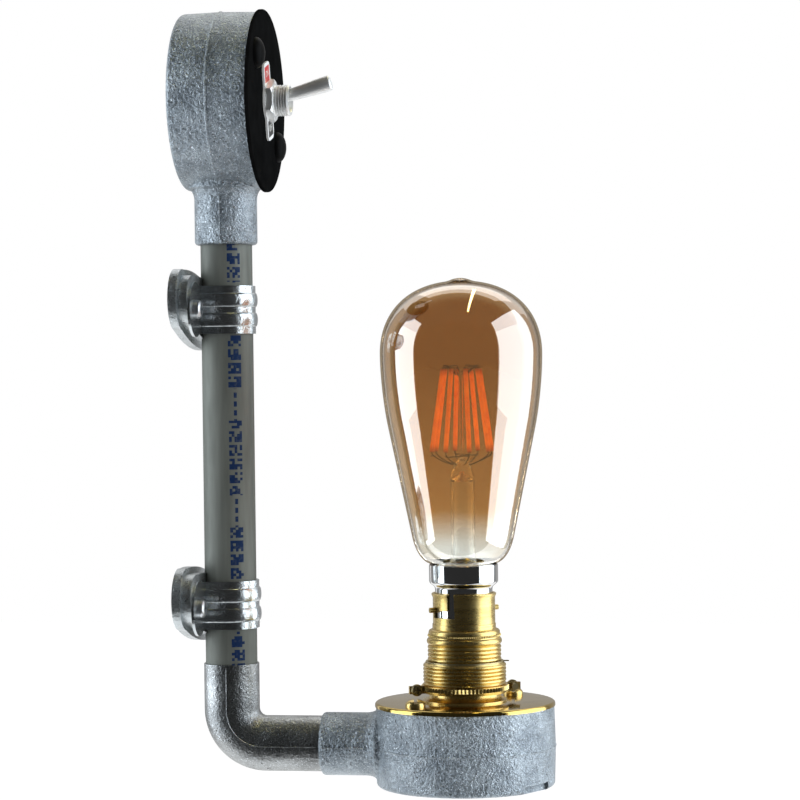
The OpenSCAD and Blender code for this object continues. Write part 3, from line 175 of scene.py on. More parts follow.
# effects that several finishes share; the first four sizes multiply a casting's grain
castWrinkle = {"fine": 2.1, "swell": 0.12, "pits": 0.7, "patches": 0.16,
    "lumpHeight": 0.7, "fineHeight": 0.3, "swellHeight": 0.6}
# the painted highlight on edges: bevel samples, the noise that breaks it into patches, and how sharp a bend must
# be to light up
paintedEdgeSetup = {"samples": 4, "chips": 900.0, "flat": 0.985, "sharp": 0.86}


def castSkinGroup(skin):
    group, given, made = shaderGroup("castSkin", [("Vector", "NodeSocketVector", None),
        ("Grain", "NodeSocketFloat", 600.0)], ["Height", "Pits", "Cloud", "Specks"])
    place = given["Vector"]
    scale = {k: calc(group, "MULTIPLY", given["Grain"], skin[k]) for k in ("fine", "swell", "pits", "patches")}
    lumps = noise(group, place, given["Grain"], detail=2.0, rough=0.5, twist=0.8)
    fine = noise(group, place, scale["fine"], detail=2.0, rough=0.6, twist=1.2)
    swell = noise(group, place, scale["swell"], detail=2.0)
    height = calc(group, "ADD", calc(group, "MULTIPLY", lumps, skin["lumpHeight"]),
        calc(group, "MULTIPLY", fine, skin["fineHeight"]))
    group.links.new(calc(group, "MULTIPLY_ADD", swell, skin["swellHeight"], height), made["Height"])
    cells = addNode(group, "ShaderNodeTexVoronoi", {"Vector": place, "Scale": scale["pits"]}).outputs["Distance"]
    few = ramp(group, noise(group, place, scale["patches"]), 0.5, 0.62)
    group.links.new(calc(group, "MULTIPLY", ramp(group, cells, 0.26, 0.12), few), made["Pits"])
    group.links.new(ramp(group, swell, 0.32, 0.68), made["Cloud"])
    group.links.new(ramp(group, fine, 0.56, 0.7), made["Specks"])
    return group


def drawnGrainGroup():
    group, given, made = shaderGroup("drawnGrain", [("Vector", "NodeSocketVector", None),
        ("Grain", "NodeSocketFloat", 900.0), ("Patches", "NodeSocketFloat", 60.0)], ["Streak", "Cloud", "Height"])
    streak = noise(group, given["Vector"], given["Grain"], detail=4.0, rough=0.65)
    cloud = noise(group, given["Vector"], given["Patches"], detail=4.0, rough=0.55, twist=0.4)
    group.links.new(ramp(group, streak, 0.3, 0.7), made["Streak"])
    group.links.new(ramp(group, cloud, 0.3, 0.7), made["Cloud"])
    group.links.new(streak, made["Height"])
    return group


# painted highlight along rounded edges, where the bevelled normal turns away from the face, broken into patches
# by noise
def edgeGlintGroup(wear):
    group, given, made = shaderGroup("edgeGlint", [("Vector", "NodeSocketVector", None),
        ("Radius", "NodeSocketFloat", 0.0006)], ["Edge"])
    rounded = addNode(group, "ShaderNodeBevel", {"Radius": given["Radius"]}, samples=wear["samples"]).outputs[0]
    bend = vectorCalc(group, "DOT_PRODUCT", rounded, addNode(group, "ShaderNodeNewGeometry").outputs["Normal"])
    chips = ramp(group, noise(group, given["Vector"], wear["chips"], detail=2.0), 0.25, 0.6)
    edge = ramp(group, bend, wear["flat"], wear["sharp"])
    group.links.new(calc(group, "MULTIPLY", edge, chips), made["Edge"])
    return group


castSkin, drawnGrain, edgeGlint = castSkinGroup(castWrinkle), drawnGrainGroup(), edgeGlintGroup(paintedEdgeSetup)


def blankMaterial(name, stretch=(1, 1, 1), turn=(0, 0, 0)):
    material = bpy.data.materials.new(name)
    material.use_nodes = True
    tree = material.node_tree
    shader = tree.nodes["Principled BSDF"]
    place = addNode(tree, "ShaderNodeTexCoord").outputs["Object"]
    mapping = {"Vector": place, "Scale": stretch, "Rotation": turn}
    return material, tree, shader, addNode(tree, "ShaderNodeMapping", mapping).outputs[0]


def bumpInto(tree, shader, height, distance):
    bump = addNode(tree, "ShaderNodeBump", {"Height": height, "Distance": distance, "Strength": 1.0})
    tree.links.new(bump.outputs[0], shader.inputs["Normal"])


def grainOf(tree, place, look):
    return placeGroup(tree, drawnGrain, {"Vector": place, "Grain": look["grain"], "Patches": look["patches"]})


# how strongly each look paints its edges in the highlight colour
def edgeOf(tree, place, look):
    edge = placeGroup(tree, edgeGlint, {"Vector": place, "Radius": look["edge"]})["Edge"]
    return calc(tree, "MULTIPLY", edge, look["wear"])


# fine grain in roughness and bump; gives back the soft mottling for the colour
def mottled(tree, shader, place, look):
    grain = grainOf(tree, place, look)
    tree.links.new(ramp(tree, grain["Streak"], 0, 1, *look["rough"]), shader.inputs["Roughness"])
    bumpInto(tree, shader, grain["Height"], look["relief"])
    return grain["Cloud"]


# a galvanised casting: wrinkled zinc skin, darker pits, bright specks, and brighter edges that are a painted
# highlight
def castFinish(name, look):
    material, tree, shader, place = blankMaterial(name)
    skin = placeGroup(tree, castSkin, {"Vector": place, "Grain": look["grain"]})
    tone = mixColour(tree, skin["Cloud"], look["dark"], look["pale"])
    tone = mixColour(tree, calc(tree, "MULTIPLY", skin["Specks"], look["specks"]), tone, look["glint"])
    tone = mixColour(tree, skin["Pits"], tone, look["pit"])
    tone = mixColour(tree, edgeOf(tree, place, look), tone, look["glint"])
    tree.links.new(tone, shader.inputs["Base Color"])
    shine = ramp(tree, skin["Specks"], 0, 1, look["rough"][1], look["rough"][0])
    dull = calc(tree, "MULTIPLY", skin["Pits"], look["pitRough"])
    tree.links.new(calc(tree, "MAXIMUM", shine, dull), shader.inputs["Roughness"])
    shader.inputs["Metallic"].default_value = look["metallic"]
    bumpInto(tree, shader, skin["Height"], look["relief"])
    return material


# drawn, turned or plated metal: fine streaks, dull patches, and bright edges that are a painted highlight
def metalFinish(name, look):
    material, tree, shader, place = blankMaterial(name, look["stretch"])
    grain = grainOf(tree, place, look)
    tone = mixColour(tree, grain["Cloud"], look["dark"], look["pale"])
    tone = mixColour(tree, edgeOf(tree, place, look), tone, look["glint"])
    tree.links.new(tone, shader.inputs["Base Color"])
    halves = calc(tree, "MULTIPLY_ADD", grain["Streak"], 0.5, calc(tree, "MULTIPLY", grain["Cloud"], 0.5))
    tree.links.new(ramp(tree, halves, 0, 1, *look["rough"]), shader.inputs["Roughness"])
    shader.inputs["Metallic"].default_value = look["metallic"]
    bumpInto(tree, shader, grain["Height"], look["relief"])
    return material


# moulded or glazed pieces: soft mottling and a faint moulded grain
def mouldedFinish(name, look):
    material, tree, shader, place = blankMaterial(name)
    tone = mixColour(tree, mottled(tree, shader, place, look), look["dark"], look["pale"])
    tree.links.new(tone, shader.inputs["Base Color"])
    shader.inputs["Specular IOR Level"].default_value = look["gloss"]
    return material


castLook = {"grain": 780, "relief": 0.0012, "rough": (0.14, 0.3), "metallic": 0.95, "edge": 0.0008,
    "specks": 0.75, "wear": 0.5, "pitRough": 0.7, "dark": (0.23, 0.265, 0.295), "pale": (0.41, 0.46, 0.5),
    "pit": (0.09, 0.09, 0.085), "glint": (0.66, 0.7, 0.73)}
elbowLook = dict(castLook, grain=700, relief=0.00035, rough=(0.22, 0.36), metallic=1.0,
    dark=(0.22, 0.225, 0.225), pale=(0.4, 0.41, 0.41))
saddleLook = dict(castLook, grain=700, relief=0.0004, rough=(0.2, 0.32),
    dark=(0.42, 0.45, 0.46), pale=(0.6, 0.63, 0.64))
strapLook = dict(saddleLook, grain=330, relief=0.0003, rough=(0.14, 0.26), metallic=1.0,
    dark=(0.46, 0.49, 0.5), pale=(0.64, 0.67, 0.68))
zincLook = {"grain": 1400, "patches": 90, "relief": 0.00004, "rough": (0.26, 0.38), "metallic": 1.0,
    "stretch": (1, 1, 1), "edge": 0.0005, "wear": 0.6, "dark": (0.46, 0.48, 0.5), "pale": (0.66, 0.68, 0.7),
    "glint": (0.85, 0.86, 0.87)}
nickelLook = dict(zincLook, rough=(0.38, 0.52), metallic=0.82, dark=(0.76, 0.76, 0.75), pale=(0.88, 0.88, 0.87))
leverLook = dict(nickelLook, rough=(0.46, 0.58))
chromeLook = dict(zincLook, rough=(0.03, 0.08), relief=0.000006,
    dark=(0.68, 0.68, 0.68), pale=(0.78, 0.78, 0.78))
steelLook = dict(nickelLook, metallic=1.0, dark=(0.4, 0.4, 0.4), pale=(0.52, 0.52, 0.52))
darkWireLook = dict(steelLook, dark=(0.03, 0.025, 0.02), pale=(0.07, 0.06, 0.05), glint=(0.2, 0.18, 0.15))
brassLook = {"grain": 1200, "patches": 80, "relief": 0.00002, "rough": (0.22, 0.34), "metallic": 1.0,
    "stretch": (1, 1, 6), "edge": 0.0004, "wear": 0.6, "dark": (0.56, 0.4, 0.135), "pale": (0.73, 0.55, 0.22),
    "glint": (0.85, 0.69, 0.36)}
plateLook = dict(brassLook, rough=(0.04, 0.1), stretch=(1, 1, 1), dark=(0.48, 0.33, 0.08), pale=(0.6, 0.43, 0.13))
paleBrassLook = dict(brassLook, rough=(0.34, 0.46), dark=(0.33, 0.27, 0.14), pale=(0.45, 0.38, 0.22))
copperLook = dict(brassLook, dark=(0.5, 0.24, 0.13), pale=(0.62, 0.34, 0.2))
plasticLook = {"grain": 1500, "patches": 120, "relief": 0.00003, "rough": (0.4, 0.6), "gloss": 0.5,
    "dark": (0.02, 0.02, 0.02), "pale": (0.03, 0.03, 0.03)}
lidLook = dict(plasticLook, rough=(0.45, 0.6), gloss=0.0, dark=(0.004, 0.004, 0.004), pale=(0.007, 0.007, 0.007))
screwCapLook = dict(plasticLook, rough=(0.3, 0.42), gloss=0.02,
    dark=(0.003, 0.003, 0.003), pale=(0.006, 0.006, 0.006))
nylonLook = dict(plasticLook, dark=(0.7, 0.69, 0.62), pale=(0.78, 0.77, 0.72))
phenolicLook = dict(plasticLook, dark=(0.04, 0.025, 0.018), pale=(0.06, 0.04, 0.03))
porcelainLook = dict(plasticLook, rough=(0.12, 0.22), dark=(0.76, 0.74, 0.7), pale=(0.82, 0.8, 0.77))
boardLook = dict(plasticLook, dark=(0.6, 0.56, 0.44), pale=(0.7, 0.67, 0.56))
brownLook = dict(plasticLook, dark=(0.2, 0.08, 0.03), pale=(0.27, 0.12, 0.05))
blueLook = dict(plasticLook, dark=(0.03, 0.09, 0.35), pale=(0.05, 0.13, 0.45))

finish = {
    "cast_galv": castFinish("castGalv", castLook),
    "elbow": castFinish("elbowGalv", elbowLook),
    "saddle_cast": castFinish("saddleCast", saddleLook),
    "upper_saddle_strap": castFinish("upperStrapGalv", strapLook),
    "lower_saddle_strap": castFinish("lowerStrapGalv", strapLook),
    "zinc": metalFinish("brightZinc", zincLook),
    "nickel": metalFinish("satinNickel", nickelLook),
    "cap_nickel": metalFinish("capChrome", chromeLook),
    "steel": metalFinish("plainSteel", steelLook),
    "toggle_lever": metalFinish("leverSatin", leverLook),
    "support": metalFinish("darkWire", darkWireLook),
    "brass_polished": metalFinish("polishedBrass", brassLook),
    "brass_plate": metalFinish("mirrorBrass", plateLook),
    "brass_pale": metalFinish("paleBrass", paleBrassLook),
    "brass_plain": metalFinish("turnedBrass", dict(brassLook, rough=(0.22, 0.4))),
    "copper": metalFinish("copperAlloy", copperLook),
    "solder": metalFinish("solder", dict(steelLook, rough=(0.25, 0.5))),
    "lid_black": mouldedFinish("lidBlack", lidLook),
    "cap_black": mouldedFinish("capBlack", screwCapLook),
    "rubber_black": mouldedFinish("rubberBlack", dict(plasticLook, rough=(0.6, 0.8))),
    "nylon": mouldedFinish("nylon", nylonLook),
    "phenolic": mouldedFinish("phenolic", phenolicLook),
    "porcelain": mouldedFinish("porcelain", porcelainLook),
    "cap_glass": mouldedFinish("capGlass", dict(plasticLook, rough=(0.08, 0.16))),
    "board": mouldedFinish("board", boardLook),
    "wire_brown": mouldedFinish("wireBrown", brownLook),
    "wire_blue": mouldedFinish("wireBlue", blueLook),
}


# matte galvanised tube, with dots and dashes of blue ink down its near side; the print is in millimetres
tubeLook = {"grain": 1000, "patches": 110, "rough": (0.5, 0.65), "relief": 0.00004, "stretch": (1, 1, 0.12),
    "dark": (0.118, 0.126, 0.112), "pale": (0.218, 0.23, 0.207), "metallic": 0.35, "gloss": 0.2,
    "ink": (0.001, 0.02, 0.085), "worn": 0.75, "wornGrain": 900.0, "facing": -62,
    "dot": 1.05, "columns": 5, "rows": 4, "blanks": 0.3, "group": 41, "dotted": 0.7,
    "dash": 3.4, "dashed": 0.6, "dashHalf": 0.6}


def tubeFinish(look):
    material, tree, shader, place = blankMaterial("tubeGalv", look["stretch"])
    tone = mixColour(tree, mottled(tree, shader, place, look), look["dark"], look["pale"])
    low, high = (Vector(c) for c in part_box("conduit_pipe"))
    axis, radius = (low + high) / 2, (high.y - low.y) / 2
    centred = addNode(tree, "ShaderNodeMapping", {"Vector": addNode(tree, "ShaderNodeTexCoord").outputs["Object"],
        "Location": (-axis.x, -axis.y, 0)}).outputs[0]
    spot = axesOf(tree, centred)
    angle = calc(tree, "ARCTAN2", spot["Y"], spot["X"])
    bearing = calc(tree, "SUBTRACT", angle, math.radians(look["facing"]))
    across = calc(tree, "MULTIPLY", bearing, radius / mm)        # millimetres round the tube
    aside = calc(tree, "ABSOLUTE", across)
    down = calc(tree, "MULTIPLY", spot["Z"], -1 / mm)            # millimetres below the switch
    # groups of dots, some left blank, with three dashes between two groups
    column = calc(tree, "ADD", calc(tree, "DIVIDE", across, look["dot"]), look["columns"] / 2)
    row = calc(tree, "FLOOR", calc(tree, "DIVIDE", down, look["dot"]))
    cell = addNode(tree, "ShaderNodeCombineXYZ", {"X": calc(tree, "FLOOR", column), "Y": row}).outputs[0]
    chance = addNode(tree, "ShaderNodeTexWhiteNoise", {"Vector": cell}).outputs["Value"]
    inside = calc(tree, "LESS_THAN", aside, look["columns"] * look["dot"] / 2)
    gap = calc(tree, "GREATER_THAN", calc(tree, "MODULO", row, look["rows"] + 1), 0.5)
    inked = calc(tree, "GREATER_THAN", chance, look["blanks"])
    dots = calc(tree, "MULTIPLY", calc(tree, "MULTIPLY", inside, gap), inked)
    part = calc(tree, "FRACT", calc(tree, "DIVIDE", down, look["group"]))
    inDots = calc(tree, "LESS_THAN", part, look["dotted"])
    dash = calc(tree, "LESS_THAN", calc(tree, "FRACT", calc(tree, "DIVIDE", down, look["dash"])), look["dashed"])
    line = calc(tree, "MULTIPLY", dash, calc(tree, "LESS_THAN", aside, look["dashHalf"]))
    marks = calc(tree, "MAXIMUM", calc(tree, "MULTIPLY", dots, inDots),
        calc(tree, "MULTIPLY", line, calc(tree, "SUBTRACT", 1.0, inDots)))
    patchy = ramp(tree, noise(tree, centred, look["wornGrain"]), 0.3, 0.5, look["worn"], 1.0)
    printed = calc(tree, "MULTIPLY", marks, patchy)
    tree.links.new(mixColour(tree, printed, tone, look["ink"]), shader.inputs["Base Color"])
    tree.links.new(ramp(tree, printed, 0, 1, look["metallic"], 0.0), shader.inputs["Metallic"])
    shader.inputs["Specular IOR Level"].default_value = look["gloss"]
    return material


finish["tube_galv"] = tubeFinish(tubeLook)


# one brown and one blue wire in the same piece, told apart by which side of the arm they lie on
def pairFinish(first, second, seam):
    material, tree, shader, place = blankMaterial("wirePair")
    cloud = mottled(tree, shader, place, plasticLook)
    tones = [mixColour(tree, cloud, look["dark"], look["pale"]) for look in (first, second)]
    side = ramp(tree, axesOf(tree, place)["Y"], -seam, seam)
    tree.links.new(mixColour(tree, side, *tones), shader.inputs["Base Color"])
    return material


finish["wire_pair"] = pairFinish(brownLook, blueLook, seam=0.2 * mm)


# printed plate of the switch: red field above, black field below, on white; sizes in millimetres
legend = {"turn": 16, "height": 30, "width": 11.5, "border": 1.3, "start": 7.4, "blur": 0.2,
    "letters": 3.4, "raised": 0.01, "lift": 0.012,
    "grain": 1800, "patches": 160, "rough": (0.3, 0.45), "relief": 0.00002,
    "red": (0.55, 0.01, 0.014), "black": (0.01, 0.01, 0.011),
    "white": (0.86, 0.86, 0.85), "grey": (0.78, 0.78, 0.77)}


def legendFinish(look):
    material, tree, shader, place = blankMaterial("legendPrint", turn=(-math.radians(look["turn"]), 0, 0))
    spot = axesOf(tree, place)
    height = calc(tree, "MULTIPLY", calc(tree, "ABSOLUTE", spot["Z"]), 1 / mm)
    side = calc(tree, "MULTIPLY", calc(tree, "ABSOLUTE", spot["Y"]), 1 / mm)
    half, top = look["width"] / 2 - look["border"], look["height"] / 2 - look["border"]
    start, blur = look["start"], look["blur"]
    tall = calc(tree, "MULTIPLY", ramp(tree, height, start, start + blur), ramp(tree, height, top, top - blur))
    field = calc(tree, "MULTIPLY", ramp(tree, side, half, half - blur), tall)
    ink = mixColour(tree, ramp(tree, spot["Z"], -1 * mm, 1 * mm), look["black"], look["red"])
    paper = mixColour(tree, mottled(tree, shader, place, look), look["white"], look["grey"])
    tree.links.new(mixColour(tree, field, paper, ink), shader.inputs["Base Color"])
    return material


finish["legend"] = legendFinish(legend)


# amber glass that pales towards the cap, and the clear stem; the rim and outline bands are painted reflection at
# the glass's edge, and go by how far the glass turns away
glassLook = {"waver": 0.01, "waverGrain": 40.0, "smear": 0.04, "smearGrain": 90.0, "ior": 1.5,
    "paintedRimBand": (0.34, 0.5), "edgeBand": (0.66, 0.8)}
amberLook = dict(glassLook, top=(0.45, 0.25, 0.095), middle=(0.61, 0.38, 0.16), foot=(0.9, 0.9, 0.84),
    rim=(0.77, 0.7, 0.57), outline=(0.54, 0.49, 0.42), fade=(-0.172, -0.158, -0.1), axis=(0.10625, 0, -0.12),
    lustre=2.7, veil=(0.25, 0.25, 0.25, 1))
stemLook = dict(glassLook, top=(0.9, 0.91, 0.91), middle=(0.9, 0.91, 0.91), foot=(0.92, 0.93, 0.93),
    rim=(0.9, 0.91, 0.91), outline=(0.8, 0.81, 0.81), fade=(-0.18, -0.145, -0.1), axis=(0.10625, 0, -0.15),
    lustre=1.5, veil=(1, 1, 1, 1))


def glassFinish(name, look):
    material, tree, shader, place = blankMaterial(name)
    height = calc(tree, "ADD", axesOf(tree, place)["Z"], -look["waver"] / 2)
    height = calc(tree, "MULTIPLY_ADD", noise(tree, place, look["waverGrain"], detail=2.0), look["waver"], height)
    foot, middle, top = look["fade"]
    low = mixColour(tree, ramp(tree, height, foot, middle), look["foot"], look["middle"])
    tint = mixColour(tree, ramp(tree, height, middle, top), low, look["top"])
    facing = addNode(tree, "ShaderNodeLayerWeight", {"Blend": 0.5}).outputs["Facing"]
    # painted reflection: a paler rim where the glass turns away, and the grey outline colour at its very edge
    tint = mixColour(tree, ramp(tree, facing, *look["paintedRimBand"]), tint, look["rim"])
    edge = ramp(tree, facing, *look["edgeBand"])
    tint = mixColour(tree, edge, tint, look["outline"])
    tree.links.new(tint, shader.inputs["Base Color"])
    smears = noise(tree, place, look["smearGrain"], rough=0.6, twist=1.0)
    tree.links.new(ramp(tree, smears, 0.5, 0.85, 0.0, look["smear"]), shader.inputs["Roughness"])
    shader.inputs["Transmission Weight"].default_value = 1.0
    shader.inputs["IOR"].default_value = look["ior"]
    shader.inputs["Specular Tint"].default_value = look["veil"]
    # lustre on the outside only: there the surface looks away from the lamp's axis
    fromAxis = vectorCalc(tree, "SUBTRACT", place, look["axis"])
    normal = addNode(tree, "ShaderNodeNewGeometry").outputs["Normal"]
    normal = addNode(tree, "ShaderNodeVectorTransform", {0: normal}, vector_type="NORMAL",
        convert_from="WORLD", convert_to="OBJECT").outputs[0]
    outside = calc(tree, "GREATER_THAN", vectorCalc(tree, "DOT_PRODUCT", fromAxis, normal), 0.0)
    lustre = calc(tree, "MULTIPLY", outside, calc(tree, "SUBTRACT", 1.0, edge))
    tree.links.new(lustre, shader.inputs["Coat Weight"])
    shader.inputs["Coat Roughness"].default_value = 0.0
    shader.inputs["Coat IOR"].default_value = look["lustre"]
    # light passes the glass instead of stopping at it, and so does the view along its very edge, which takes the
    # painted outline colour
    through = addNode(tree, "ShaderNodeBsdfTransparent", {"Color": tint}).outputs[0]
    ray = addNode(tree, "ShaderNodeLightPath").outputs["Is Shadow Ray"]
    straight = calc(tree, "MAXIMUM", ray, edge)
    mixed = addNode(tree, "ShaderNodeMixShader", {0: straight, 1: shader.outputs[0], 2: through}).outputs[0]
    tree.links.new(mixed, tree.nodes["Material Output"].inputs["Surface"])
    return material


finish["amber_glass"] = glassFinish("amberGlass", amberLook)
finish["clear_glass"] = glassFinish("clearGlass", stemLook)


# orange phosphor on the filament sticks, darker at the tips where they are clamped, with a painted glow in their
# own colour
phosphorLook = {"grain": 1600, "patches": 300, "rough": (0.5, 0.7), "relief": 0.00006,
    "dark": (0.74, 0.15, 0.004), "pale": (0.98, 0.27, 0.01), "burnt": (0.2, 0.035, 0.003),
    "tip": 0.003, "glow": 1.6}


def phosphorFinish(look):
    material, tree, shader, place = blankMaterial("phosphor")
    tone = mixColour(tree, mottled(tree, shader, place, look), look["dark"], look["pale"])
    low, high = (corner[2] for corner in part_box("filament_sticks"))
    height = axesOf(tree, place)["Z"]
    toEnd = calc(tree, "MINIMUM", calc(tree, "SUBTRACT", height, low), calc(tree, "SUBTRACT", high, height))
    tone = mixColour(tree, ramp(tree, toEnd, look["tip"], 0.0), tone, look["burnt"])
    tree.links.new(tone, shader.inputs["Base Color"])
    # painted glow: the sticks give off light in their own colour
    tree.links.new(tone, shader.inputs["Emission Color"])
    shader.inputs["Emission Strength"].default_value = look["glow"]
    return material


finish["filament"] = phosphorFinish(phosphorLook)

# every CAD node takes its slot's finish; a few have their own
slotOf = {part["node"]: part["material_slot"] for part in frame["record"]["subparts"]}
for name, slotName in slotOf.items():
    for slot in nodes[name].material_slots:
        slot.material = finish.get(name, finish[slotName])
bodyOf = {name: body for body, held in frame["record"]["behaviour"]["bodies"].items() for name in held}
print("finishes:", len(finish), "on", len(slotOf), "nodes")


# geometry trees: named inputs, one plain mesh out of each
def geometryTree(name, inputs):
    tree = bpy.data.node_groups.new(name, "GeometryNodeTree")
    first, last = ("Geometry", "NodeSocketGeometry", None), ("Finish", "NodeSocketMaterial", None)
    addSockets(tree, [first, *inputs, last])
    tree.interface.new_socket("Geometry", in_out="OUTPUT", socket_type="NodeSocketGeometry")
    return tree, addNode(tree, "NodeGroupInput").outputs


def endTree(tree, geometry, material):
    whole = addNode(tree, "GeometryNodeRealizeInstances", {0: geometry}).outputs[0]
    painted = addNode(tree, "GeometryNodeSetMaterial", {"Geometry": whole, "Material": material}).outputs[0]
    addNode(tree, "NodeGroupOutput", {0: painted})
    return tree


# a point at this radius, angle and height about an axis
def aboutAxis(tree, radius, angle, height, axis):
    across = calc(tree, "MULTIPLY", radius, calc(tree, "COSINE", angle))
    along = calc(tree, "MULTIPLY", radius, calc(tree, "SINE", angle))
    spot = addNode(tree, "ShaderNodeCombineXYZ", {"X": across, "Y": along, "Z": height}).outputs[0]
    return vectorCalc(tree, "ADD", spot, axis)


def plainMesh(maker):
    graph = bpy.context.evaluated_depsgraph_get()
    mesh = bpy.data.meshes.new_from_object(maker.evaluated_get(graph))
    bpy.data.objects.remove(maker)
    return mesh


def bakeTree(name, tree, values, source=None):
    maker = addObject(name + "Maker", source or bpy.data.meshes.new(name + "Maker"))
    modifier = maker.modifiers.new("maker", "NODES")
    modifier.node_group = tree
    for item in tree.interface.items_tree:
        if item.in_out == "INPUT" and item.name in values:
            modifier[item.identifier] = values[item.name]
    return addObject(name, plainMesh(maker))


weld = {"doubles": 0.000002, "slivers": 0.0000005}


# doubles merged, faces outwards, soft shading that breaks at sharp edges
def smoothPiece(piece, angle, outwards=True):
    mesh = piece.data
    if "custom_normal" in mesh.attributes:
        mesh.attributes.remove(mesh.attributes["custom_normal"])
    work = bmesh.new()
    work.from_mesh(mesh)
    bmesh.ops.remove_doubles(work, verts=work.verts, dist=weld["doubles"])
    bmesh.ops.dissolve_degenerate(work, edges=work.edges, dist=weld["slivers"])
    if outwards:
        bmesh.ops.recalc_face_normals(work, faces=work.faces)
    work.to_mesh(mesh)
    work.free()
    mesh.shade_smooth()
    mesh.set_sharp_from_angle(angle=math.radians(angle))
    return piece


def standFor(piece, node):
    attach(piece, bodyOf[node])
    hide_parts(node)
    return piece


# pieces turned about the lamp's axis: an outline of radius and height goes once round
def turnedTree():
    tree, given = geometryTree("turnedPiece", [("Steps", "NodeSocketInt", 128),
        ("Axis", "NodeSocketVector", (0, 0, 0))])
    count = addNode(tree, "GeometryNodeAttributeDomainSize", {0: given["Geometry"]}).outputs["Point Count"]
    sheet = addNode(tree, "GeometryNodeMeshGrid", {"Size X": 1.0, "Size Y": 1.0, "Vertices X": count,
        "Vertices Y": calc(tree, "ADD", given["Steps"], 1)}).outputs[0]
    where = addNode(tree, "GeometryNodeInputPosition").outputs[0]
    flat = axesOf(tree, where)
    share = calc(tree, "MULTIPLY", calc(tree, "ADD", flat["X"], 0.5), calc(tree, "SUBTRACT", count, 1))
    picked = addNode(tree, "GeometryNodeSampleIndex", {"Geometry": given["Geometry"], "Value": where,
        "Index": calc(tree, "ROUND", share)}, data_type="FLOAT_VECTOR")
    outline = axesOf(tree, next(s for s in picked.outputs if s.enabled))
    angle = calc(tree, "MULTIPLY", calc(tree, "ADD", flat["Y"], 0.5), math.tau)
    placed = aboutAxis(tree, outline["X"], angle, outline["Z"], given["Axis"])
    moved = addNode(tree, "GeometryNodeSetPosition", {"Geometry": sheet, "Position": placed}).outputs[0]
    closed = addNode(tree, "GeometryNodeMergeByDistance", {"Geometry": moved,
        "Distance": weld["doubles"]}).outputs[0]
    return endTree(tree, closed, given["Finish"])


turnedPiece = turnedTree()
glassLow, glassHigh = (Vector(c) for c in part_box("glass_bulb"))
lampAxis = ((glassLow.x + glassHigh.x) / 2, 0, 0)


def turned(name, outline, material, node, angle=30, steps=128):
    profile = bpy.data.meshes.new(name + "Outline")
    profile.from_pydata([(r, 0, z) for r, z in outline], [(i, i + 1) for i in range(len(outline) - 1)], [])
    piece = bakeTree(name, turnedPiece, {"Steps": steps, "Axis": lampAxis, "Finish": material}, profile)
    return standFor(smoothPiece(piece, angle), node)


def arcPoints(middle, radius, start, end, count):
    angles = [math.radians(start + (end - start) * i / count) for i in range(count + 1)]
    return [(middle[0] + radius * math.cos(a), middle[1] + radius * math.sin(a)) for a in angles]


def bendPoints(*corners, count=14):
    return [tuple(p) for p in interpolate_bezier(*(Vector(c) for c in corners), count)]


# ribs as a rule: round crests with a narrow groove between two
def ribPoints(radius, depth, low, high, count, fine=16, crest=0.6):
    dips = [1 - abs(math.sin(math.pi * i / fine)) ** crest for i in range(count * fine + 1)]
    return [(radius - depth * dip, low + (high - low) * i / (count * fine)) for i, dip in enumerate(dips)]


# corners of the outline as shares of the bulb's widest radius and of its height; the pip on top in millimetres
bulb = {"wall": 0.8 * mm, "tuck": 5 * mm, "tip": 1 * mm, "lap": 0.55 * mm, "step": (0.1 * mm, 0.4 * mm),
    "neck": [(0.529, 0.015), (0.6, 0.0555), (0.632, 0.102)],
    "flank": [(0.906, 0.482), (0.955, 0.55), (1, 0.656), (1, 0.744)],
    "crown": [(1, 0.744), (1, 0.887), (0.661, 1), (0, 1)],
    "pip": [(4.6, 0), (3.6, 0), (3.2, 0.9)], "innerTop": 1.2 * mm}


def makeBulb(size):
    seat, top = glassLow.z + size["tuck"], glassHigh.z - size["tip"]
    widest, tall = (glassHigh.y - glassLow.y) / 2, top - seat
    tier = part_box("lamp_cap")[1][1]
    neck = tier - size["lap"]

    def spots(key):
        return [(across * widest, seat + up * tall) for across, up in size[key]]

    outer = [(neck, glassLow.z), (neck, seat + size["step"][0])]
    outer += bendPoints((tier, seat + size["step"][1]), *spots("neck"))
    outer += bendPoints(*spots("flank"))
    foot, *pip = [(r * mm, top + z * mm) for r, z in size["pip"]]
    outer += [p for p in bendPoints(*spots("crown"), count=40)[1:] if p[0] > foot[0]]
    outer += bendPoints(outer[-1], *pip, (0, top + size["tip"]), count=10)[1:]
    inner = []
    for i, (r, z) in enumerate(outer[:-2]):
        ahead = (Vector(outer[i + 1]) - Vector(outer[max(i - 1, 0)])).normalized()
        inner.append((max(r - size["wall"] * ahead.y, 0), z + size["wall"] * ahead.x))
    inner = [p for p in inner if p[0] > size["innerTop"]] + [(0, top - 1.1 * size["wall"])]
    return turned("glassBulb", inner[::-1] + outer, finish["amber_glass"], "glass_bulb", angle=50, steps=160)


makeBulb(bulb)


# ribbed shells of the holder; groove and dome are millimetres from the upper shell's side and shoulder
shells = {"lowRibs": 5, "topRibs": 4, "depth": 0.55 * mm, "wall": 2.2 * mm, "bore": 11.95 * mm,
    "collar": 12.15 * mm, "edge": 0.5 * mm, "ribFoot": 1.2 * mm, "rim": 0.8 * mm, "inset": 0.3 * mm,
    "skirt": 0.6 * mm, "shoulder": 3.6 * mm, "beltDrop": 2.9 * mm, "belt": 1.5 * mm, "beltInset": 1.2 * mm,
    "groove": [(-0.5, -1.4), (-0.45, -0.3)], "dome": [(-0.4, 0), (-0.35, 1.3)],
    "domeTop": (13.2 * mm, 1.5 * mm), "collarFoot": 1.75 * mm,
    "knurls": 112, "knurl": 0.4 * mm, "knurlDrop": 0.75 * mm, "knurlInset": 0.4 * mm}


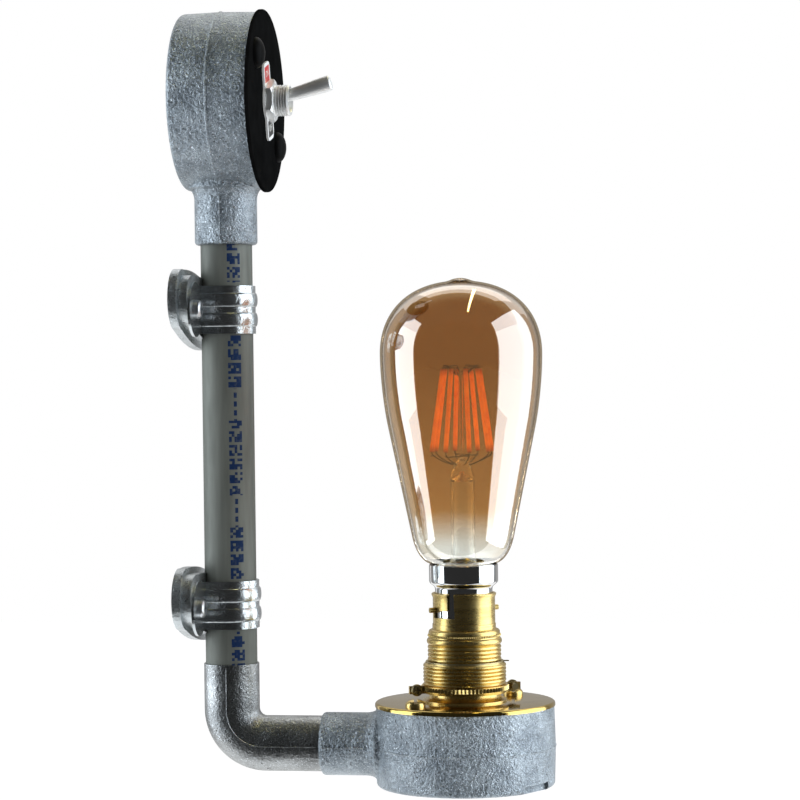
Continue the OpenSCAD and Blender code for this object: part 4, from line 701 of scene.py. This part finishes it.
def makeShells(size):
    edge, wall, bore, collar, depth = (size[k] for k in ("edge", "wall", "bore", "collar", "depth"))
    low, high = (Vector(c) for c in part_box("lower_shell"))
    r, foot, joint = (high.y - low.y) / 2, low.z, high.z
    outline = [(r - wall, foot), (r - edge, foot), (r, foot + edge)]
    outline += ribPoints(r, depth, foot + size["ribFoot"], joint - edge, size["lowRibs"])
    outline += [(r - size["rim"], joint), (r - wall, joint), (r - wall, foot)]
    turned("lowerShell", outline, finish["brass_polished"], "lower_shell")
    low, high = (Vector(c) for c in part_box("upper_shell"))
    foot, top = low.z, high.z
    r, shoulder = (high.y - low.y) / 2 - size["inset"], top - size["shoulder"]
    belt, skirt = shoulder - size["beltDrop"], r - size["skirt"]
    outline = [(bore, foot), (skirt, foot), (skirt, joint + edge)]
    outline += ribPoints(r, depth, joint + edge, belt - size["belt"], size["topRibs"])
    outline += arcPoints((r - size["beltInset"], belt), size["belt"], -60, 60, count=14)
    outline += [(r + x * mm, shoulder + z * mm) for x, z in size["groove"]]
    dome = [(r + x * mm, shoulder + z * mm) for x, z in size["dome"]]
    dome.append((size["domeTop"][0], shoulder + size["domeTop"][1]))
    outline += bendPoints(*dome, (collar, shoulder + size["collarFoot"]))
    outline += [(collar, top), (bore, top), (bore, foot)]
    turned("upperShell", outline, finish["brass_polished"], "upper_shell")
    return shoulder - size["knurlDrop"], r - size["knurlInset"]


# a row of small beads round the shoulder of the upper shell
def knurlTree():
    tree, given = geometryTree("knurlRow", [("Count", "NodeSocketInt", 100), ("Ring", "NodeSocketFloat", 0.014),
        ("Bead", "NodeSocketFloat", 0.0004), ("Place", "NodeSocketVector", (0, 0, 0))])
    ring = addNode(tree, "GeometryNodeMeshCircle", {"Vertices": given["Count"],
        "Radius": given["Ring"]}).outputs[0]
    bead = addNode(tree, "GeometryNodeMeshUVSphere", {"Segments": 8, "Rings": 6,
        "Radius": given["Bead"]}).outputs[0]
    row = addNode(tree, "GeometryNodeInstanceOnPoints", {"Points": ring, "Instance": bead,
        "Scale": (1, 1, 1.2)}).outputs[0]
    moved = addNode(tree, "GeometryNodeTransform", {"Geometry": row, "Translation": given["Place"]}).outputs[0]
    return endTree(tree, moved, given["Finish"])


knurlHeight, knurlRing = makeShells(shells)
knurls = bakeTree("shellKnurls", knurlTree(), {"Count": shells["knurls"], "Ring": knurlRing,
    "Bead": shells["knurl"], "Place": (lampAxis[0], 0, knurlHeight), "Finish": finish["brass_polished"]})
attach(smoothPiece(knurls, angle=180), "lamp_head")


# two-tier cap of the lamp; the bends are millimetres from the narrow tier, the wide tier and the step's foot
cap = {"straight": 11 * mm, "wall": 0.5 * mm, "cone": 15.6 * mm, "step": 2.8 * mm, "edge": 0.3 * mm,
    "outside": ((0, -0.2), (0.2, 1.4), (-0.3, 1.3)), "inside": (0.8, 2, -0.4)}


def makeCap(size):
    low, high = (Vector(c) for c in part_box("lamp_cap"))
    tier, r, wall, edge = high.y, size["straight"], size["wall"], size["edge"]
    cone = low.z + size["cone"]
    (x1, z1), (x2, z2), (x3, z3) = size["outside"]
    outline = [(r - wall, low.z), (r, low.z)]
    outline += bendPoints((r + x1 * mm, cone + z1 * mm), (r + x2 * mm, cone + z2 * mm),
        (tier + x3 * mm, cone + z3 * mm), (tier, cone + size["step"]))
    outline += [(tier, high.z - edge), (tier - edge, high.z), (tier - wall, high.z)]
    z1, z2, z3 = size["inside"]
    outline += bendPoints((tier - wall, cone + size["step"]), (tier - wall, cone + z1 * mm),
        (r - wall, cone + z2 * mm), (r - wall, cone + z3 * mm)) + [(r - wall, low.z)]
    turned("lampCap", outline, finish["cap_nickel"], "lamp_cap")


makeCap(cap)


# filament sticks round the stem, leaning inwards to the crown, with the wires that hold them
cage = {"count": 8, "start": 0.46, "lowRadius": 11.8 * mm, "lowHeight": 43 * mm, "topRadius": 7.2 * mm,
    "topHeight": 74.5 * mm, "stick": 1.8 * mm, "wire": 0.45 * mm, "wireSides": 8,
    "hub": (3.8 * mm, 38 * mm), "crown": (2.1 * mm, 72.3 * mm), "footTail": 1.6 * mm, "headTail": 1.2 * mm,
    "hubDip": 0.4 * mm, "crownRise": 1.2 * mm, "footSag": -0.8 * mm, "headSag": 0.7 * mm}


def stickTree():
    tree, given = geometryTree("filamentCage", [("Count", "NodeSocketInt", 8), ("Start", "NodeSocketFloat", 0.0),
        ("Low Radius", "NodeSocketFloat", 0.012), ("Low Height", "NodeSocketFloat", 0.0),
        ("Top Radius", "NodeSocketFloat", 0.008), ("Top Height", "NodeSocketFloat", 0.03),
        ("Thickness", "NodeSocketFloat", 0.002), ("Axis", "NodeSocketVector", (0, 0, 0))])
    index = addNode(tree, "GeometryNodeInputIndex").outputs[0]
    share = calc(tree, "DIVIDE", calc(tree, "ADD", index, given["Start"]), given["Count"])
    turn = calc(tree, "MULTIPLY", share, math.tau)
    middle = calc(tree, "MULTIPLY", calc(tree, "ADD", given["Low Radius"], given["Top Radius"]), 0.5)
    height = calc(tree, "MULTIPLY", calc(tree, "ADD", given["Low Height"], given["Top Height"]), 0.5)
    lean = calc(tree, "SUBTRACT", given["Low Radius"], given["Top Radius"])
    rise = calc(tree, "SUBTRACT", given["Top Height"], given["Low Height"])
    place = aboutAxis(tree, middle, turn, height, given["Axis"])
    points = addNode(tree, "GeometryNodePoints", {"Count": given["Count"], "Position": place}).outputs[0]
    inwards = calc(tree, "MULTIPLY", calc(tree, "ARCTAN2", lean, rise), -1.0)
    tilt = addNode(tree, "ShaderNodeCombineXYZ", {"Y": inwards, "Z": turn}).outputs[0]
    length = calc(tree, "SQRT", calc(tree, "ADD", calc(tree, "POWER", lean, 2.0), calc(tree, "POWER", rise, 2.0)))
    stick = addNode(tree, "GeometryNodeMeshCylinder", {"Vertices": 16, "Side Segments": 6, "Fill Segments": 2,
        "Radius": calc(tree, "MULTIPLY", given["Thickness"], 0.5), "Depth": length}).outputs[0]
    spin = addNode(tree, "FunctionNodeEulerToRotation", {0: tilt}).outputs[0]
    row = addNode(tree, "GeometryNodeInstanceOnPoints", {"Points": points, "Instance": stick,
        "Rotation": spin}).outputs[0]
    return endTree(tree, row, given["Finish"])


seat = glassLow.z + bulb["tuck"]
sticks = bakeTree("filamentSticks", stickTree(), {"Count": cage["count"], "Start": cage["start"],
    "Low Radius": cage["lowRadius"], "Low Height": seat + cage["lowHeight"],
    "Top Radius": cage["topRadius"], "Top Height": seat + cage["topHeight"],
    "Thickness": cage["stick"], "Axis": lampAxis, "Finish": finish["filament"]})
standFor(smoothPiece(sticks, angle=40), "filament_sticks")


def wireTree():
    tree, given = geometryTree("wireTube", [("Thickness", "NodeSocketFloat", 0.0005),
        ("Sides", "NodeSocketInt", 8)])
    path = addNode(tree, "GeometryNodeMeshToCurve", {0: given["Geometry"]}).outputs[0]
    ring = addNode(tree, "GeometryNodeCurvePrimitiveCircle", {"Resolution": given["Sides"],
        "Radius": calc(tree, "MULTIPLY", given["Thickness"], 0.5)}).outputs[0]
    tube = addNode(tree, "GeometryNodeCurveToMesh", {"Curve": path, "Profile Curve": ring,
        "Fill Caps": True}).outputs[0]
    return endTree(tree, tube, given["Finish"])


# from the hub and the crown out to each stick, and from one stick to the next
def cageRoutes(size):
    low = Vector((size["lowRadius"], 0, seat + size["lowHeight"]))
    top = Vector((size["topRadius"], 0, seat + size["topHeight"]))
    along = (top - low).normalized()
    hub = Vector((size["hub"][0], 0, seat + size["hub"][1]))
    crown = Vector((size["crown"][0], 0, seat + size["crown"][1]))
    foot, head = low - size["footTail"] * along, top + size["headTail"] * along
    dip, arch = Vector((0, 0, size["hubDip"])), Vector((0, 0, size["crownRise"]))
    step = math.tau / size["count"]
    routes = []
    for i in range(size["count"]):
        spin = Matrix.Rotation((i + size["start"]) * step, 3, "Z")
        onward = Matrix.Rotation((i + 1 + size["start"]) * step, 3, "Z")
        routes.append([spin @ p for p in interpolate_bezier(hub, hub.lerp(foot, 0.5) - dip, foot, low, 12)])
        routes.append([spin @ p for p in interpolate_bezier(crown, crown.lerp(head, 0.6) + arch, head, top, 10)])
        end, drop = (foot, size["footSag"]) if i % 2 else (head, size["headSag"])
        a, b, sag = spin @ end, onward @ end, Vector((0, 0, drop))
        routes.append(interpolate_bezier(a, a.lerp(b, 0.2) + sag, a.lerp(b, 0.8) - sag, b, 9))
    return routes


def routeMesh(name, routes):
    points, edges = [], []
    for route in routes:
        edges += [(len(points) + i, len(points) + i + 1) for i in range(len(route) - 1)]
        points += [Vector(p) + Vector(lampAxis) for p in route]
    mesh = bpy.data.meshes.new(name)
    mesh.from_pydata(points, edges, [])
    return mesh


wires = bakeTree("supportWires", wireTree(), {"Thickness": cage["wire"], "Sides": cage["wireSides"],
    "Finish": finish["support"]}, routeMesh("cageRoutes", cageRoutes(cage)))
standFor(smoothPiece(wires, angle=60), "support_wires")
print("lamp: bulb, cap, shells,", cage["count"], "sticks and their wires")


# copies of castings and pressings with soft shading on their rounds
softened = {"switch_box": 20, "lamp_box": 20, "elbow": 20, "upper_saddle_strap": 32, "lower_saddle_strap": 32,
    "screw_caps": 40, "toggle_lever": 24, "plate_screws": 30, "holder_neck": 30, "brass_plate": 30,
    "glass_stem": 35, "lid_screws": 30, "bayonet_sleeve": 30, "switch_lid": 30, "front_nut": 20}


def softCopy(node, angle):
    words = node.split("_")
    name = words[0] + "".join(w.capitalize() for w in words[1:])
    return standFor(smoothPiece(addObject(name, nodes[node].data.copy()), angle, outwards=False), node)


for node, angle in softened.items():
    softCopy(node, angle)

# the contact springs in the holder, which shorten as the lamp is pushed in, get a mesh of their own; the joint
# and stroke listed here are not read
springs = {"node": "plunger_springs", "joint": "plunger_push", "stroke": 1.8 * mm, "angle": 30}
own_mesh(softCopy(springs["node"], springs["angle"]))


# ON and OFF on the switch's plate, as thin raised print
def printWords(size):
    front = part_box("legend_plate")[1][0]
    lift = Matrix.Translation((front + size["lift"] * mm, 0, 0))
    turn = Matrix.Rotation(math.radians(size["turn"]), 4, "X")
    stand = Matrix(((0, 0, 1, 0), (1, 0, 0, 0), (0, 1, 0, 0), (0, 0, 0, 1)))        # letters face out of the wall
    middle = (size["start"] + size["height"] / 2 - size["border"]) / 2
    for word, up in (("ON", middle), ("OFF", -middle)):
        text = bpy.data.curves.new("word" + word, "FONT")
        text.body, text.size, text.extrude = word, size["letters"] * mm, size["raised"] * mm
        text.align_x, text.align_y = "CENTER", "CENTER"
        mesh = plainMesh(addObject("word" + word, text))
        mesh.transform(lift @ turn @ Matrix.Translation((0, 0, up * mm)) @ stand)
        mesh.materials.clear()
        mesh.materials.append(finish["nylon"])
        piece = addObject("legend" + word.capitalize(), mesh)
        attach(piece, bodyOf["legend_plate"])


printWords(legend)
print("dressed:", len(softened), "softened nodes and the switch's words")


# floor, background and studio light
stageSetup = {"floor": -0.8, "half": 6.0, "ambient": 0.5, "lift": 0.62, "rough": 0.9,
    "mottle": 3.0, "dark": (0.78, 0.78, 0.78), "pale": (0.82, 0.82, 0.82)}


def seenRays(tree):
    rays = addNode(tree, "ShaderNodeLightPath").outputs
    mirrored = calc(tree, "MAXIMUM", rays["Is Glossy Ray"], rays["Is Transmission Ray"])
    return calc(tree, "MAXIMUM", rays["Is Camera Ray"], mirrored)


def whiteGlow(tree, strength):
    return addNode(tree, "ShaderNodeEmission", {"Color": (1, 1, 1, 1), "Strength": strength}).outputs[0]


def stageSheet(name, corners, material):
    mesh = bpy.data.meshes.new(name)
    mesh.from_pydata(corners, [], [(0, 1, 2, 3)])
    mesh.materials.append(material)
    sheet = addObject(name, mesh)
    return sheet


def stageFloor(setup):
    material, tree, shader, place = blankMaterial("paleFloor")
    mottle = mixColour(tree, noise(tree, place, setup["mottle"]), setup["dark"], setup["pale"])
    tree.links.new(mottle, shader.inputs["Base Color"])
    shader.inputs["Roughness"].default_value = setup["rough"]
    glow = whiteGlow(tree, setup["lift"])
    both = addNode(tree, "ShaderNodeAddShader", {0: shader.outputs[0], 1: glow}).outputs[0]
    mixed = addNode(tree, "ShaderNodeMixShader", {0: seenRays(tree), 1: shader.outputs[0], 2: both}).outputs[0]
    tree.links.new(mixed, tree.nodes["Material Output"].inputs["Surface"])
    h, z = setup["half"], setup["floor"]
    stageSheet("floor", [(-h, -h, z), (h, -h, z), (h, h, z), (-h, h, z)], material)


def stageWorld(setup):
    world = bpy.data.worlds.new("studio")
    world.use_nodes = True
    tree = world.node_tree
    backdrop = tree.nodes["Background"]
    backdrop.inputs["Color"].default_value = (1, 1, 1, 1)
    tree.links.new(ramp(tree, seenRays(tree), 0, 1, setup["ambient"], 1.0), backdrop.inputs["Strength"])
    scene.world = world


# two windows, left and right, a yellow strip above and a soft box behind it
windowLight, stripLight, plainLight = (0.82, 0.91, 1.0), (1.0, 0.9, 0.42), (1, 1, 1)
softBoxes = [
    {"name": "leftBox", "place": (-0.635, -0.09, -0.03), "aim": (0.1, -0.05, -0.06), "size": (0.58, 1.05),
        "power": 5, "turn": 0, "colour": windowLight},
    {"name": "rightBox", "place": (0.74, 0.08, -0.03), "aim": (0.1, 0.05, -0.06), "size": (0.86, 1.05),
        "power": 7.2, "turn": 0, "colour": windowLight},
    {"name": "topBox", "place": (0.232, 0.17, 0.8), "aim": (0.232, 0.17, 0), "size": (0.035, 1.1),
        "power": 1.1, "turn": 7, "colour": stripLight},
    {"name": "backBox", "place": (0.1, 0.75, 0.9), "aim": (0.1, 0, -0.1), "size": (1.2, 0.6),
        "power": 1.9, "turn": 0, "colour": plainLight},
]
# dark cards that show only in reflections: behind the camera, above, low in front, off to both sides and behind
darkCards = [
    {"name": "frontCard", "shade": 0.03,
        "corners": [(-2.3, -1.2, -0.78), (2.3, -1.2, -0.78), (2.3, -1.2, 1.1), (-2.3, -1.2, 1.1)]},
    {"name": "roofCard", "shade": 0.04,
        "corners": [(-2.3, -1.2, 1.1), (2.3, -1.2, 1.1), (2.3, 0.8, 1.1), (-2.3, 0.8, 1.1)]},
    {"name": "lowCard", "shade": 0.03,
        "corners": [(-2.3, -1.2, -0.77), (2.3, -1.2, -0.77), (2.3, -0.3, -0.77), (-2.3, -0.3, -0.77)]},
    {"name": "leftCard", "shade": 0.3,
        "corners": [(-0.75, 0.8, -0.75), (-0.75, 0.25, -0.75), (-0.75, 0.25, 0.6), (-0.75, 0.8, 0.6)]},
    {"name": "rightCard", "shade": 0.3,
        "corners": [(1.0, 0.6, -0.75), (1.0, 1.2, -0.75), (1.0, 1.2, 0.6), (1.0, 0.6, 0.6)]},
    {"name": "backCard", "shade": 0.4,
        "corners": [(-1.0, 1.3, -0.6), (1.3, 1.3, -0.6), (1.3, 1.3, 0.5), (-1.0, 1.3, 0.5)]},
]


def hangLights():
    for box in softBoxes:
        light = bpy.data.lights.new(box["name"], "AREA")
        light.shape = "RECTANGLE"
        light.size, light.size_y = box["size"]
        light.energy, light.color = box["power"], box["colour"]
        place = Vector(box["place"])
        aim = (Vector(box["aim"]) - place).to_track_quat("-Z", "Y")
        turn = Matrix.Rotation(math.radians(box["turn"]), 4, "Z")
        lamp = addObject(box["name"], light)
        lamp.matrix_world = Matrix.Translation(place) @ aim.to_matrix().to_4x4() @ turn
    for card in darkCards:
        material, tree, shader, place = blankMaterial(card["name"])
        tree.links.new(whiteGlow(tree, card["shade"]), tree.nodes["Material Output"].inputs["Surface"])
        sheet = stageSheet(card["name"], card["corners"], material)
        sheet.visible_camera = sheet.visible_diffuse = False
        sheet.visible_shadow = sheet.visible_transmission = False


stageFloor(stageSetup)
stageWorld(stageSetup)
hangLights()
print("stage: floor, world,", len(softBoxes), "soft boxes,", len(darkCards), "cards")
